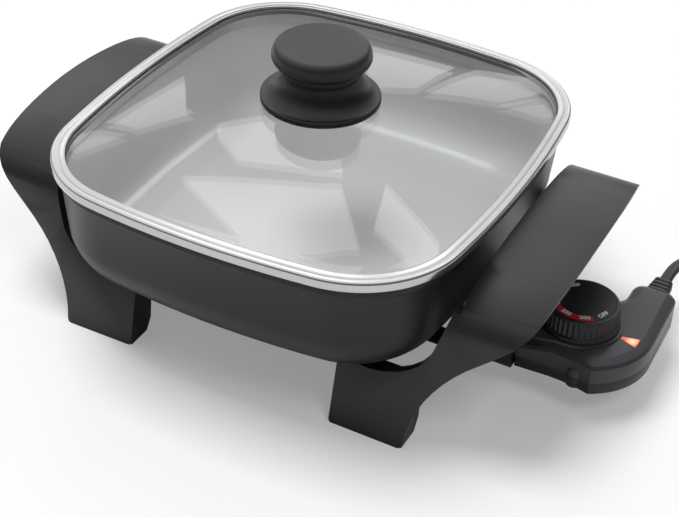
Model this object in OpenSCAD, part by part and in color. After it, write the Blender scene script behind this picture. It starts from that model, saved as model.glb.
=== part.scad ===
// Electric skillet: a deep square-plan pan on two leg handles, with a glass lid that lifts off and a
// heat control that plugs into the pan's socket. Millimetres, +Z up. The sub-parts are drawn about
// the pan's centre on the table top, and placed() moves them so that the origin is the bottom
// centre of the whole object.

/* [Pan] */
// Width of the pan across its rim, handle to handle
pan_w = 205; // [180:1:250]
// Depth of the pan across its rim, front to back
pan_d = 220; // [190:1:270]
// Height of the pan's underside above the table
pan_z = 36.5; // [34:0.5:50]
// Height of the pan from its underside to its rim
pan_h = 56; // [50:1:80]
// Corner radius of the rim, seen from above
corner_r = 50; // [40:1:60]
// Radius of the bowed walls that carry the handles
bow_w = 550; // [400:10:900]
// Radius of the bowed walls in front and behind
bow_d = 450; // [350:10:900]
// Thickness of the pan's wall
wall_t = 3; // [2.5:0.1:4]
// Thickness of the pan's floor
floor_t = 4; // [3.5:0.1:6]
// Outside radius between the pan's wall and floor
bottom_r = 26; // [18:1:30]
// Height of the band round the rim
band_h = 4.5; // [3:0.5:8]

/* [Lid] */
// Height of the lid's metal ring
ring_h = 5.2; // [4.6:0.1:8]
// How far the ring stands out past the rim
ring_out = 2.5; // [1.5:0.5:4]
// How far the ring's top reaches in over the glass
ring_in = 4.2; // [3:0.2:8]
// Thickness of the ring's sheet
sheet_t = 0.8; // [0.6:0.1:1.2]
// Rise of the glass from its edge to its centre
dome_h = 15; // [8:1:25]

/* [Knob] */
// Diameter of the knob's flared foot
knob_foot_d = 57; // [48:1:70]
// Diameter of the knob's cap
knob_cap_d = 47; // [40:1:60]
// Diameter of the knob's neck
knob_neck_d = 38; // [32:1:42]
// Height of the knob
knob_h = 28.7; // [26:0.1:40]

/* [Handles] */
// Distance from the pan's rim to the outside of a grip
grip_out = 42.5; // [36:0.5:55]
// Height of the top of the grip above the table
grip_z = 84; // [80:1:95]
// Thickness of the handle's moulded plate
plate_t = 4.5; // [3.5:0.1:6]
// Distance from the pan's middle to the front of a foot
foot_y = 86; // [80:1:96]
// Depth of a foot, front to back
foot_depth = 20; // [18:1:26]
// Width of a foot
foot_w = 37; // [30:1:44]
// Wall thickness of a foot
foot_wall = 3; // [2.5:0.1:4]
// How far a leg leans in for each millimetre of its height
leg_lean = 0.21; // [0.15:0.01:0.24]

/* [Heat control] */
// Width of the control's case
case_w = 51; // [47:1:56]
// Length of the case, from its shoulder to its far side
case_l = 55.5; // [50:0.5:70]
// Height of the case's underside above the table
case_z = 17; // [15:0.5:20]
// Height of the case at the dial
case_h = 17; // [15:0.5:20]
// Height of the case's lower shell
lower_h = 6; // [4:0.5:8]
// Wall thickness of the case
case_t = 2; // [1.6:0.1:2.4]
// Diameter of the dial
dial_d = 35; // [30:1:38]
// Height of the dial
dial_h = 11; // [10:0.5:18]
// Number of grips round the dial
dial_ribs = 44; // [30:1:60]
// Diameter of the sensing probe
probe_d = 6.2; // [5:0.1:7]
// Diameter of the terminal pins
pin_d = 4.8; // [4:0.1:5.5]
// Distance between the terminal pins
pin_gap = 35; // [33:1:37]

/* [Hidden] */
$fn = 96;

// clearances
seat = 0.2; // a loose piece above what it rests on
fit = 0.05; // radial, round a screw or pin
slide = 0.8; // round what slides in or out

// pan
half_w = pan_w / 2;
half_d = pan_d / 2;
rim_z = pan_z + pan_h;
band_step = 1.2; // how far the wall lies inside the rim band
draft = 3.5; // how far the wall's foot lies inside the rim
corner_steps = 10;
side_steps = 6;

// lid
ring_z = rim_z + seat;
ring_top = ring_z + ring_h;
glass_gap = 0.1; // between glass and ring
glass_t = ring_h - 2 * sheet_t - 2 * glass_gap;
glass_edge_z = ring_top - sheet_t - glass_gap;
glass_inset = sheet_t + glass_gap - ring_out;
glass_flat_inset = ring_in + 0.8; // the glass is flat as far in as the ring reaches
glass_hole_r = 3.2;
dome_steps = 10;
skirt_h = 3.5;
skirt_inset = wall_t + slide;

// knob
foot_r = knob_foot_d / 2;
cap_r = knob_cap_d / 2;
neck_r = knob_neck_d / 2;
knob_rim_h = 2.8; // rim of the flared foot
knob_split = 14.8; // seam between foot and cap, above the knob's base
knob_screw_r = 2.5;
washer_r = 11;
washer_t = 1.2;

// handles
grip_x = half_w + grip_out;
grip_bow = 5; // how far the grip's ends lie inside its middle
grip_half = 70;
grip_gap = 4.3; // between the rim and the grip's inside edge
grip_gap_bow = 0.6;
foot_x = half_w - 48.5;
foot_out = foot_x + foot_w;
shelf_z = 24;
shelf_t = 4;
boss_r = 6;
boss_x = foot_x + foot_wall + boss_r + 0.5;
boss_y = foot_y - 18;
screw_r = 2;
screw_head_r = 4;
screw_head_h = 2.6;

// heater
rod_r = 3.3;
rod_z = pan_z - 6.5;
ridge_w = 14;
ridge_z = rod_z - 5; // underside of the ridge
bend_r = 12;
loop_r = 45;
loop_x = -5;
arm_x = 45;
rod_end = 86;
ridge_end = 80;
pin_y = pin_gap / 2;
pin_z = case_z + 7.5;
lug_r = 4.5;
lug_z = pin_z;
crank_r = (rod_z - pin_z) / 2;
cold_r = 1.4;

// guard and control, along X from the pan's middle
guard_x = half_w - 3.5;
guard_end = half_w + 15.8;
guard_half = case_w / 2 + 3.8;
guard_t = 2.2;
guard_top = case_z + 17.5;
shoulder_x = guard_end + 0.6;
nose_x = guard_x + 5;
nose_half = case_w / 2 - 0.8;
nose_low = case_z + 3;
nose_top = case_z + 14.2;
nose_t = 1.2; // wall of the nose
// rounded edge round the case's top: how far each line lies in from the side, and below the top
edge_steps = [[0, 3.2], [1.1, 1.7], [2.8, 0.9]];
edge_in = 4.8; // where the edge runs out into the top
sleeve_r = pin_d / 2 + 0.8;
sleeve_l = 16;
case_x = shoulder_x + case_l;
case_top = case_z + case_h;
case_split = case_z + lower_h;
case_half = case_w / 2;
case_corner = 35; // radius of the case's near corner
corner_a = 62; // angle that the near corner turns through
corner_at = [case_x - case_corner, case_corner * sin(corner_a) - case_half - 1.5];
far_lean = 0.9; // how far the far side leans in on its way to the wing's end
side_bow = 0.3; // how far the back side stands out where the slope ends
wing_y = case_half + 20.5; // end of the cord wing
wing_in = case_x - 22.4; // inner side of the cord wing
wing_r = 6;
wing_root_r = 8;
dial_x = shoulder_x + 21.1;
boss_at = [dial_x + 7.5, 3.1 - case_half]; // half-round boss on the case's near side
case_boss_r = 4;
boss_high = 7.5; // centre of its round top above the case's underside
dial_z = case_top + 1.4;
dial_r = dial_d / 2;
plinth_r = dial_r + 2.5; // raised step under the dial
plinth_h = 1.1;
shaft_r = 3;
slope_x = dial_x - 5; // where the slope from the nose ends
nose_drop = 2.5; // how far the slope cuts the nose's end down
lens_turn = -3.5; // direction of the lamp's window, seen from the dial
probe_tip = 64;
probe_root = nose_x + 20;
relief_x = case_x - 11.9;
relief_z = case_z + 10.2;
relief_l = 11.5; // part of the relief outside the case
relief_neck_r = 3.2;

// cord
cord_w = 6; // width of the flat two-core cord
cord_t = 3.4; // its thickness
cord_sides = 8;
cord_points = [[162.5, 57.5, 27.2], [162.5, 63, 27.3], [162.7, 69.4, 27.2], [163.5, 77, 26.5],
    [165.3, 85, 24.7], [168.3, 93, 21.8], [172.5, 101, 18], [177.9, 109, 14], [184.7, 117, 10.2],
    [192.9, 125.2, 6.8], [202.1, 133.1, 4.1], [212.3, 140.3, 2.4], [223, 146, 1.8], [235, 150, 1.8]];
coil_centre = [250, 187, 0];
coil_mid_r = 34; // two turns lie side by side about it, and a third on top of them
coil_wide = 2 * cord_w;
coil_layer = cord_t + 0.2;
tail_points = [[232, 221.3, 5.4], [225, 221.5, 5.1], [218, 222, 4], [211, 222.7, 2.8], [205, 223.3, 2.5],
    [199, 223.8, 3.3], [193.5, 224, 4.5], [189, 224, 4.5]];
plug_at = [189, 224, 4.5]; // where the cord enters the plug, which points to -X
plug_l = 26;
blade_gap = 12.7;

// origin of the whole object
shift_x = (case_x - grip_x) / 2;

// ---------- helpers ----------

module placed() {
    translate([-shift_x, 0, 0])
        children();
}

// centre of the rim's corner arc, which is tangent to both bowed walls
function corner_centre(n, x, y) = n == 0 ? [x, y] : corner_centre(n - 1,
    half_w - bow_w + sqrt((bow_w - corner_r) ^ 2 - y ^ 2),
    half_d - bow_d + sqrt((bow_d - corner_r) ^ 2 - x ^ 2));
corner = corner_centre(12, half_w - corner_r, half_d - corner_r);
turn_w = asin(corner.y / (bow_w - corner_r));
turn_d = asin(corner.x / (bow_d - corner_r));

function arc(c, r, from, to, n) =
    [for (i = [0:n - 1]) let (a = from + (to - from) * i / n) c + r * [cos(a), sin(a)]];

// the rim's outline, moved in by inset, counter-clockwise
function outline(inset) = concat(
    arc([half_w - bow_w, 0], bow_w - inset, -turn_w, turn_w, side_steps),
    arc(corner, corner_r - inset, turn_w, 90 - turn_d, corner_steps),
    arc([0, half_d - bow_d], bow_d - inset, 90 - turn_d, 90 + turn_d, side_steps),
    arc([-corner.x, corner.y], corner_r - inset, 90 + turn_d, 180 - turn_w, corner_steps),
    arc([bow_w - half_w, 0], bow_w - inset, 180 - turn_w, 180 + turn_w, side_steps),
    arc([-corner.x, -corner.y], corner_r - inset, 180 + turn_w, 270 - turn_d, corner_steps),
    arc([0, bow_d - half_d], bow_d - inset, 270 - turn_d, 270 + turn_d, side_steps),
    arc([corner.x, -corner.y], corner_r - inset, 270 + turn_d, 360 - turn_w, corner_steps));

function lift(points, z) = [for (p = points) [p.x, p.y, z]];

// a skin through rings of points; open ends are capped, and a closed one runs on to the first ring
module loft(rings, closed = false) {
    count = len(rings[0]);
    last = len(rings) - 1;
    sides = [for (k = [0:closed ? last : last - 1], i = [0:count - 1])
        let (up = (k + 1) % (last + 1), next = (i + 1) % count)
        [k * count + i, up * count + i, up * count + next, k * count + next]];
    caps = closed ? [] : [[for (i = [0:count - 1]) i],
        [for (i = [count - 1:-1:0]) last * count + i]];
    polyhedron([for (ring = rings) each ring], concat(sides, caps), convexity = 6);
}

function bezier(a, b, c, d, n) = [for (i = [0:n]) let (t = i / n)
    (1 - t) ^ 3 * a + 3 * (1 - t) ^ 2 * t * b + 3 * (1 - t) * t ^ 2 * c + t ^ 3 * d];

// an open path moved to its right by dist
function beside(path, dist) = [for (i = [0:len(path) - 1])
    let (d = path[min(i + 1, len(path) - 1)] - path[max(i - 1, 0)])
    path[i] + dist * [d.y, -d.x] / norm(d)];

function reversed(path) = [for (i = [len(path) - 1:-1:0]) path[i]];

module rounded_box(size, r) {
    linear_extrude(size.z)
        rounded_rect([size.x, size.y], r);
}

module rounded_rect(size, r) {
    translate([r - size.x / 2, -size.y / 2])
        square([size.x - 2 * r, size.y]);
    translate([-size.x / 2, r - size.y / 2])
        square([size.x, size.y - 2 * r]);
    for (x = [-1, 1], y = [-1, 1])
        translate([x * (size.x / 2 - r), y * (size.y / 2 - r)])
            circle(r);
}

// a 2D profile in (Y, Z) drawn out along X
module along_x(from, to) {
    translate([from, 0, 0])
        rotate([90, 0, 90])
            linear_extrude(to - from)
                children();
}

// a screw with its head below, its top at the origin
module screw(length, r, head_r, head_h) {
    translate([0, 0, -length])
        cylinder(length, r, r);
    difference() {
        translate([0, 0, -length - head_h])
            cylinder(head_h, head_r * 0.8, head_r);
        translate([0, 0, -length - head_h - 1])
            for (a = [0, 90])
                rotate(a)
                    translate([-head_r * 0.55, -0.5, 0])
                        cube([head_r * 1.1, 1, 2]);
    }
}

// ---------- pan ----------

// the pan's section: inset from the rim's outline and height, from outside floor to inside floor
function pan_section() =
    let (r_in = bottom_r - wall_t + 1, low = pan_z + floor_t)
    concat(
        [for (i = [0:6]) let (a = 90 * i / 6)
            [draft + bottom_r * (1 - sin(a)), pan_z + bottom_r * (1 - cos(a))]],
        [[band_step, rim_z - band_h - 0.6], [0.2, rim_z - band_h], [0, rim_z - band_h + 0.6],
            [0, rim_z - 0.8], [0.8, rim_z], [wall_t - 0.8, rim_z], [wall_t, rim_z - 0.8]],
        [for (i = [0:6]) let (a = 90 * i / 6)
            [draft + wall_t - 1 + r_in * (1 - cos(a)), low + r_in * (1 - sin(a))]]);

module pan() {
    color([0.09, 0.09, 0.1])
        placed()
            difference() {
                union() {
                    loft([for (p = pan_section()) lift(outline(p[0]), p[1])]);
                    handle_bosses(boss_r, shelf_z + shelf_t, pan_z + 1.5);
                }
                handle_bosses(screw_r + fit, shelf_z, pan_z);
            }
}

module handle_bosses(r, low, high) {
    for (x = [-boss_x, boss_x], y = [-boss_y, boss_y])
        translate([x, y, low])
            cylinder(high - low, r, r);
}

// ---------- heater ----------

// the element's path under the floor, swept with a 2D section in (sideways, Z)
module element_path(end) {
    translate([loop_x, 0, 0])
        rotate_extrude(angle = 180, start = 90)
            translate([loop_r, 0])
                children();
    for (side = [-1, 1]) {
        translate([0, side * loop_r, 0])
            along_x(loop_x, arm_x)
                children();
        translate([arm_x, side * (loop_r - bend_r), 0])
            rotate_extrude(angle = 90, start = side > 0 ? 0 : 270)
                translate([bend_r, 0])
                    children();
        translate([arm_x + bend_r, side * (pin_y + bend_r), 0])
            rotate([90, 0, side > 0 ? 180 : 0])
                linear_extrude(loop_r - 2 * bend_r - pin_y)
                    children();
        translate([arm_x + 2 * bend_r, side * (pin_y + bend_r), 0])
            rotate_extrude(angle = 90, start = side > 0 ? 180 : 90)
                translate([bend_r, 0])
                    children();
        translate([0, side * pin_y, 0])
            along_x(arm_x + 2 * bend_r, end)
                children();
    }
}

module heater_plate() {
    color([0.62, 0.63, 0.64])
        placed()
            difference() {
                union() {
                    element_path(ridge_end)
                        translate([-ridge_w / 2, ridge_z])
                            square([ridge_w, pan_z - ridge_z]);
                    translate([14, 0, pan_z - 3])
                        rounded_box([124, 84, 3], 20);
                    translate([arm_x - 5, -7.5, pin_z - 6])
                        cube([ridge_end - arm_x + 5, 15, pan_z - pin_z + 6]);
                    for (y = [-1, 1])
                        translate([arm_x + 2 * bend_r, y * (pin_y + bend_r), lug_z])
                            cylinder(pan_z - lug_z, lug_r, lug_r);
                }
                element_path(ridge_end + 1)
                    translate([0, rod_z])
                        circle(rod_r + fit);
                translate([probe_tip - 2, 0, pin_z])
                    rotate([0, 90, 0])
                        cylinder(ridge_end, probe_d / 2 + 0.3, probe_d / 2 + 0.3);
                for (y = [-1, 1])
                    translate([arm_x + 2 * bend_r, y * (pin_y + bend_r), lug_z - 1])
                        cylinder(8, 1.5 + fit, 1.5 + fit);
            }
}

module heating_element() {
    color([0.5, 0.5, 0.52])
        placed()
            element_path(rod_end)
                translate([0, rod_z])
                    circle(rod_r);
}

module terminal_insulators() {
    color([0.93, 0.91, 0.86])
        placed()
            for (y = [-pin_y, pin_y])
                translate([rod_end, y, rod_z])
                    rotate([0, 90, 0])
                        difference() {
                            cylinder(3, rod_r, rod_r - 0.5);
                            translate([0, 0, -1])
                                cylinder(5, cold_r + fit, cold_r + fit);
                        }
}

// two cranked pins: thin at the element, full size where the control's sleeves slide on
module terminal_pins() {
    crank_x = rod_end + 5;
    color([0.75, 0.75, 0.76])
        placed()
            for (y = [-pin_y, pin_y])
                translate([0, y, 0]) {
                    translate([rod_end + 0.5, 0, rod_z])
                        rotate([0, 90, 0])
                            cylinder(crank_x - rod_end - 0.5, cold_r, cold_r);
                    translate([crank_x, 0, rod_z - crank_r])
                        rotate([90, 0, 0])
                            rotate_extrude(angle = 90, start = 0)
                                translate([crank_r, 0])
                                    circle(cold_r);
                    translate([crank_x + 2 * crank_r, 0, rod_z - crank_r])
                        rotate([90, 0, 0])
                            rotate_extrude(angle = 90, start = 180)
                                translate([crank_r, 0])
                                    circle(cold_r);
                    translate([crank_x + 2 * crank_r, 0, pin_z])
                        rotate([0, 90, 0])
                            cylinder(guard_end - 3 - crank_x - 2 * crank_r, pin_d / 2, pin_d / 2);
                }
}

module pin_washers() {
    color([0.93, 0.91, 0.86])
        placed()
            for (y = [-pin_y, pin_y])
                translate([guard_x, y, pin_z])
                    rotate([0, 90, 0])
                        difference() {
                            cylinder(guard_t, 4.5, 4.5);
                            translate([0, 0, -1])
                                cylinder(guard_t + 2, pin_d / 2 + fit, pin_d / 2 + fit);
                        }
}

// ---------- socket guard ----------

module terminal_guard() {
    guard_mid = (case_z + guard_top) / 2;
    guard_tall = guard_top - case_z;
    color([0.07, 0.07, 0.075])
        placed()
            difference() {
                union() {
                    along_x(guard_x, guard_end)
                        translate([0, guard_mid])
                            rounded_rect([2 * guard_half, guard_tall], 3);
                    for (y = [-1, 1])
                        guard_tab(y);
                }
                along_x(guard_x + guard_t, guard_end + 1)
                    translate([0, guard_mid])
                        rounded_rect([2 * (guard_half - guard_t), guard_tall - 2 * guard_t], 1.5);
                for (y = [-pin_y, pin_y])
                    translate([guard_x - 1, y, pin_z])
                        rotate([0, 90, 0])
                            cylinder(guard_t + 2, 4.5 + fit, 4.5 + fit);
                translate([guard_x - 1, 0, pin_z])
                    rotate([0, 90, 0])
                        cylinder(guard_t + 2, probe_d / 2 + slide, probe_d / 2 + slide);
                for (y = [-1, 1])
                    translate([arm_x + 2 * bend_r, y * (pin_y + bend_r), 0])
                        cylinder(pan_z, 1.5 + fit, 1.5 + fit);
            }
}

// a tab that runs in under the heater plate to its screw
module guard_tab(side) {
    tab_x = arm_x + 2 * bend_r;
    tab_y = side * (pin_y + bend_r);
    translate([tab_x, tab_y, lug_z - 3])
        cylinder(3, 5, 5);
    translate([tab_x, tab_y - 5, lug_z - 3])
        cube([guard_x - tab_x + 1, 10, 3]);
}

module guard_screws() {
    color([0.7, 0.7, 0.72])
        placed()
            for (y = [-1, 1])
                translate([arm_x + 2 * bend_r, y * (pin_y + bend_r), lug_z + 5])
                    screw(8, 1.5, 3, 1.8);
}

// ---------- handles ----------

// the handle's section in (Y, Z): a leaning leg, a round shoulder and a gently crowned grip
function leg_y(z) = leg_lean * z - foot_y;
function half_arch() =
    let (shoulder_z = grip_z - 25, crown_y = -38, crown_z = grip_z - 2.2)
    concat([[leg_y(0), 0]],
        bezier([leg_y(shoulder_z), shoulder_z], [leg_y(shoulder_z) + 3.4, grip_z - 9],
            [-60, grip_z - 5], [crown_y, crown_z], 10),
        [for (i = [1:4]) let (y = crown_y * (1 - i / 5)) [y, grip_z - 2.2 * (y / crown_y) ^ 2]]);
function arch() = let (half = half_arch())
    concat(half, [[0, grip_z]], [for (p = reversed(half)) [-p.x, p.y]]);

module arch_plate() {
    outer = arch();
    inner = beside(outer, plate_t);
    ends = [[leg_y(0) + plate_t, 0], [-leg_y(0) - plate_t, 0]];
    polygon(concat(outer, [ends[1]],
        reversed([for (i = [1:len(inner) - 2]) inner[i]]), [ends[0]]));
}

// the handle seen from the front, in (X, Z): foot, flared leg and the grip's end
function front_view() = concat(
    arc([foot_x + 2, 2], 2, 180, 270, 4),
    arc([foot_out - 2, 2], 2, 270, 360, 4),
    bezier([foot_out, 2], [foot_out + 1, 20], [foot_out + 10, 36], [foot_out + 23, 48], 8),
    bezier([foot_out + 23, 48], [foot_out + 33, 57], [foot_out + 45, 65], [foot_out + 50, 75], 8),
    bezier([foot_out + 50.5, 76], [foot_out + 52, 79], [foot_out + 53.2, 81], [foot_out + 54, 84], 4),
    [[foot_out + 60, 85], [foot_out + 60, 110], [half_w + 1.5, 110], [half_w + 1.5, grip_z]],
    bezier([half_w + 1.2, 72], [half_w - 0.5, 66], [half_w - 2, 60], [half_w - 4.5, 52], 5),
    bezier([half_w - 4.5, 52], [half_w - 7, 42], [half_w - 18.5, 34.5], [half_w - 32.5, 33.5], 6),
    [[foot_x, 34.5]]);

module right_handle_shape() {
    difference() {
        union() {
            intersection() {
                along_x(foot_x - 5, grip_x + 5)
                    arch_plate();
                translate([0, 120, 0])
                    rotate([90, 0, 0])
                        linear_extrude(240)
                            polygon(front_view());
                grip_bounds();
            }
            for (side = [0, 1])
                mirror([0, side, 0]) {
                    foot();
                    leg_flange();
                }
        }
        for (y = [-boss_y, boss_y])
            translate([boss_x, y, 0]) {
                translate([0, 0, shelf_z - 1])
                    cylinder(shelf_t + 2, screw_r + fit, screw_r + fit);
                translate([0, 0, -1])
                    cylinder(foot_wall + 2, 5.5, 5.5);
            }
    }
}

// what the grip's two bowed edges keep, seen from above
module grip_bounds() {
    outer_r = (grip_half ^ 2 + grip_bow ^ 2) / (2 * grip_bow);
    inner_r = (grip_half ^ 2 + grip_gap_bow ^ 2) / (2 * grip_gap_bow);
    difference() {
        translate([grip_x - outer_r, 0, -1])
            cylinder(120, outer_r, outer_r, $fn = 360);
        translate([half_w + grip_gap - inner_r, 0, grip_z - 13])
            cylinder(40, inner_r, inner_r, $fn = 360);
    }
}

// a front foot behind the leg's plate: two webs, a shelf for the pan's boss and a sole
module foot() {
    back_y = foot_depth - foot_y;
    for (x = [foot_x, foot_out - foot_wall])
        along_x(x, x + foot_wall)
            polygon([[leg_y(0) + 1, 0], [back_y - 6, 0], [back_y - 2, 6], [back_y - 1, 16],
                [back_y + 2, shelf_z + shelf_t], [leg_y(32) + 1, 32]]);
    along_x(foot_x + 1, foot_out - 1)
        polygon([[leg_y(shelf_z) + 1, shelf_z], [back_y + 2, shelf_z],
            [back_y + 2, shelf_z + shelf_t], [leg_y(shelf_z + shelf_t) + 1, shelf_z + shelf_t]]);
    along_x(foot_x + 1, foot_out - 1)
        polygon([[leg_y(0) + 1, 0], [back_y - 6, 0], [back_y - 4, foot_wall],
            [leg_y(foot_wall) + 1, foot_wall]]);
}

// the wall along a front leg's outer edge, which gets shallower on its way up to the grip
module leg_flange() {
    back_y = foot_depth + 2 - foot_y;
    intersection() {
        translate([0, -foot_y / 2, 0])
            rotate([90, 0, 0])
                linear_extrude(foot_y)
                    difference() {
                        polygon(front_view());
                        translate([-foot_wall, 0])
                            polygon(front_view());
                    }
        along_x(foot_out - foot_wall, grip_x)
            polygon([[leg_y(shelf_z) + 1, shelf_z], [back_y, shelf_z], [back_y, 40], [back_y - 2.1, 52],
                [leg_y(62) + plate_t, 62], [leg_y(62) + 1, 62]]);
    }
}

module right_handle() {
    color([0.07, 0.07, 0.075])
        placed()
            right_handle_shape();
}

module left_handle() {
    color([0.07, 0.07, 0.075])
        placed()
            mirror([1, 0, 0])
                right_handle_shape();
}

module handle_screws() {
    color([0.7, 0.7, 0.72])
        placed()
            for (x = [-boss_x, boss_x], y = [-boss_y, boss_y])
                translate([x, y, pan_z - 0.5])
                    screw(pan_z - 0.5 - shelf_z, screw_r, screw_head_r, screw_head_h);
}

// ---------- lid ----------

// height of the glass's upper face, t of the way from the hole to the edge
function dome(t) = glass_edge_z + dome_h * (1 - t ^ 2);

// a ring of the glass, round at the hole and square at the foot of the dome
function glass_ring(t, z) = [for (p = outline(glass_flat_inset))
    let (q = p / norm(p) * glass_hole_r * (1 - t) + p * t) [q.x, q.y, z]];

module lid_glass() {
    steps = [for (i = [0:dome_steps]) i / dome_steps];
    color([0.75, 0.85, 0.85, 0.35])
        placed()
            loft(concat(
                [for (t = steps) glass_ring(t, dome(t) - glass_t)],
                [lift(outline(glass_inset), glass_edge_z - glass_t),
                    lift(outline(glass_inset), glass_edge_z)],
                [for (t = reversed(steps)) glass_ring(t, dome(t))]), closed = true);
}

// the ring's folded sheet: bottom flange with a skirt, outer band, rolled top lip
function ring_section() = [
    [skirt_inset + sheet_t, ring_z - skirt_h], [skirt_inset, ring_z - skirt_h],
    [skirt_inset, ring_z], [-ring_out + 0.6, ring_z], [-ring_out, ring_z + 0.6],
    [-ring_out, ring_top - 1.2], [-ring_out + 0.35, ring_top - 0.35],
    [-ring_out + 1.2, ring_top], [ring_in - 1.4, ring_top], [ring_in - 0.7, ring_top + 0.25],
    [ring_in, ring_top - 0.1], [ring_in, ring_top - sheet_t],
    [-ring_out + sheet_t, ring_top - sheet_t], [-ring_out + sheet_t, ring_z + sheet_t],
    [skirt_inset + sheet_t, ring_z + sheet_t]];

module lid_ring() {
    color([0.8, 0.8, 0.82])
        placed()
            loft([for (p = ring_section()) lift(outline(p[0]), p[1])], closed = true);
}

// ---------- knob ----------

hollow_r = foot_r - 3;
// the foot's rim rests on the glass where it stands highest, towards the corners
knob_z = dome((hollow_r - glass_hole_r) / (norm(corner) + corner_r - glass_flat_inset)) + 0.1;

module knob_base() {
    color([0.08, 0.08, 0.085])
        placed()
            translate([0, 0, knob_z])
                rotate_extrude()
                    polygon(concat(
                        [[knob_screw_r + fit, 3], [hollow_r, 1.6], [hollow_r, 0], [foot_r - 0.3, 0],
                            [foot_r, 0.4], [foot_r, knob_rim_h - 0.6], [foot_r - 0.5, knob_rim_h]],
                        bezier([foot_r - 1.2, knob_rim_h], [foot_r - 5, 4.2],
                            [neck_r + 1, 7.5], [neck_r, knob_split], 8),
                        [[knob_screw_r + fit, knob_split]]));
}

module knob_cap() {
    color([0.16, 0.165, 0.175])
        placed()
            translate([0, 0, knob_z])
                rotate_extrude()
                    difference() {
                        polygon(concat(
                            [[0, knob_split], [neck_r - 0.4, knob_split],
                                [neck_r, knob_split + 0.6], [neck_r, knob_split + 3]],
                            bezier([neck_r + 0.4, knob_split + 3], [cap_r - 2, knob_split + 4],
                                [cap_r, knob_split + 6], [cap_r, knob_h - 6], 6),
                            bezier([cap_r, knob_h - 6], [cap_r, knob_h - 3],
                                [cap_r - 1.2, knob_h - 0.6], [cap_r - 3.4, knob_h - 0.3], 5),
                            [[0, knob_h]]));
                        translate([0, knob_split - 1])
                            square([knob_screw_r + fit, 9]);
                    }
}

module knob_washer() {
    color([0.12, 0.12, 0.12])
        placed()
            translate([0, 0, dome(0) - glass_t - washer_t - seat])
                difference() {
                    cylinder(washer_t, washer_r, washer_r);
                    translate([0, 0, -1])
                        cylinder(washer_t + 2, knob_screw_r + fit, knob_screw_r + fit);
                }
}

module knob_screw() {
    head_z = dome(0) - glass_t - washer_t - seat;
    screw_top = knob_z + knob_split + 7;
    color([0.7, 0.7, 0.72])
        placed()
            translate([0, 0, screw_top])
                screw(screw_top - head_z, knob_screw_r, 5, 2.4);
}

// ---------- heat control ----------

// the case seen from above: waisted near side, large near corner and a cord wing on the far side
function case_points() =
    let (waist = [slope_x, 1.3 - case_half],
        kink = corner_at + case_corner * [cos(corner_a), -sin(corner_a)])
    concat(
        [[wing_in - wing_root_r, case_half], [slope_x, case_half + side_bow],
            [shoulder_x, case_half], [shoulder_x, 0.4 - case_half]],
        bezier(waist, waist + [7, 0], kink + [-7, 2.2], kink, 4),
        arc(corner_at, case_corner, 6 - corner_a, 0, 9),
        [[case_x, corner_at.y]],
        arc([case_x - far_lean - wing_r, wing_y - wing_r], wing_r, 3, 90, 5),
        [[case_x - far_lean - wing_r, wing_y]],
        arc([wing_in + wing_r, wing_y - wing_r], wing_r, 90, 180, 5),
        [[wing_in, wing_y - wing_r]],
        arc([wing_in - wing_root_r, case_half + wing_root_r], wing_root_r, 0, -90, 6));

module case_outline() {
    polygon(case_points());
    translate(boss_at)
        circle(case_boss_r);
}

module case_cavity() {
    offset(delta = -case_t)
        polygon(case_points());
}

module nose(from, to, half) {
    translate([nose_x, -half, from])
        cube([shoulder_x - nose_x + 1, 2 * half, to - from]);
}

// sleeve holes and probe hole through the nose's end wall
module nose_holes() {
    translate([nose_x - 1, 0, pin_z])
        rotate([0, 90, 0]) {
            for (y = [-pin_y, pin_y])
                translate([0, y, 0])
                    cylinder(case_t + 2, sleeve_r + fit, sleeve_r + fit);
            cylinder(case_t + 2, probe_d / 2 + fit, probe_d / 2 + fit);
        }
}

module control_lower_case() {
    color([0.06, 0.06, 0.065])
        placed()
            difference() {
                union() {
                    translate([0, 0, case_z])
                        linear_extrude(lower_h)
                            case_outline();
                    nose(nose_low, case_split, nose_half);
                }
                translate([0, 0, case_z + case_t])
                    linear_extrude(lower_h)
                        case_cavity();
                translate([case_t, 0, 0])
                    nose(nose_low + nose_t, case_split + 1, nose_half - case_t);
                nose_holes();
                for (p = case_screw_places())
                    translate([p.x, p.y, case_z - 1])
                        cylinder(case_t + 2, 1.5 + fit, 1.5 + fit);
            }
}

function case_screw_places() = [[shoulder_x + 6, -case_half + 6], [shoulder_x + 6, case_half - 6],
    [case_x - 8, case_half + 2]];

module control_upper_case() {
    color([0.1, 0.105, 0.115])
        placed()
            difference() {
                union() {
                    difference() {
                        union() {
                            bevelled_block();
                            nose(case_split - 2, nose_top, nose_half);
                            case_boss();
                        }
                        above_slope(0);
                    }
                    plinth();
                }
                translate([nose_x - 1, -wing_y, case_split - 10])
                    cube([case_x - nose_x + 2, 2 * wing_y + 1, 10]);
                difference() {
                    union() {
                        translate([0, 0, case_split - 1])
                            linear_extrude(case_top - case_t - case_split + 1)
                                case_cavity();
                        translate([case_t, 0, 0])
                            nose(case_split - 1, nose_top - case_t, nose_half - case_t);
                    }
                    above_slope(-nose_t);
                    for (p = case_screw_places())
                        translate([p.x, p.y, case_split])
                            cylinder(case_h, 3, 3);
                }
                nose_holes();
                translate([dial_x, 0, case_top - case_t - 1])
                    cylinder(case_t + plinth_h + 2, shaft_r + 0.3, shaft_r + 0.3);
                translate([0, 0, case_top - 1])
                    lens_shape(0, 3);
                for (p = case_screw_places())
                    translate([p.x, p.y, case_split - 1])
                        cylinder(6, 1.25, 1.25);
                relief_seat(fit);
            }
}

// the boss's upper end, a half-round with a domed top
module case_boss() {
    translate([boss_at.x, boss_at.y, case_split - 2])
        cylinder(case_z + boss_high - case_split + 2, case_boss_r, case_boss_r);
    translate([boss_at.x, boss_at.y, case_z + boss_high])
        sphere(case_boss_r);
}

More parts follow.
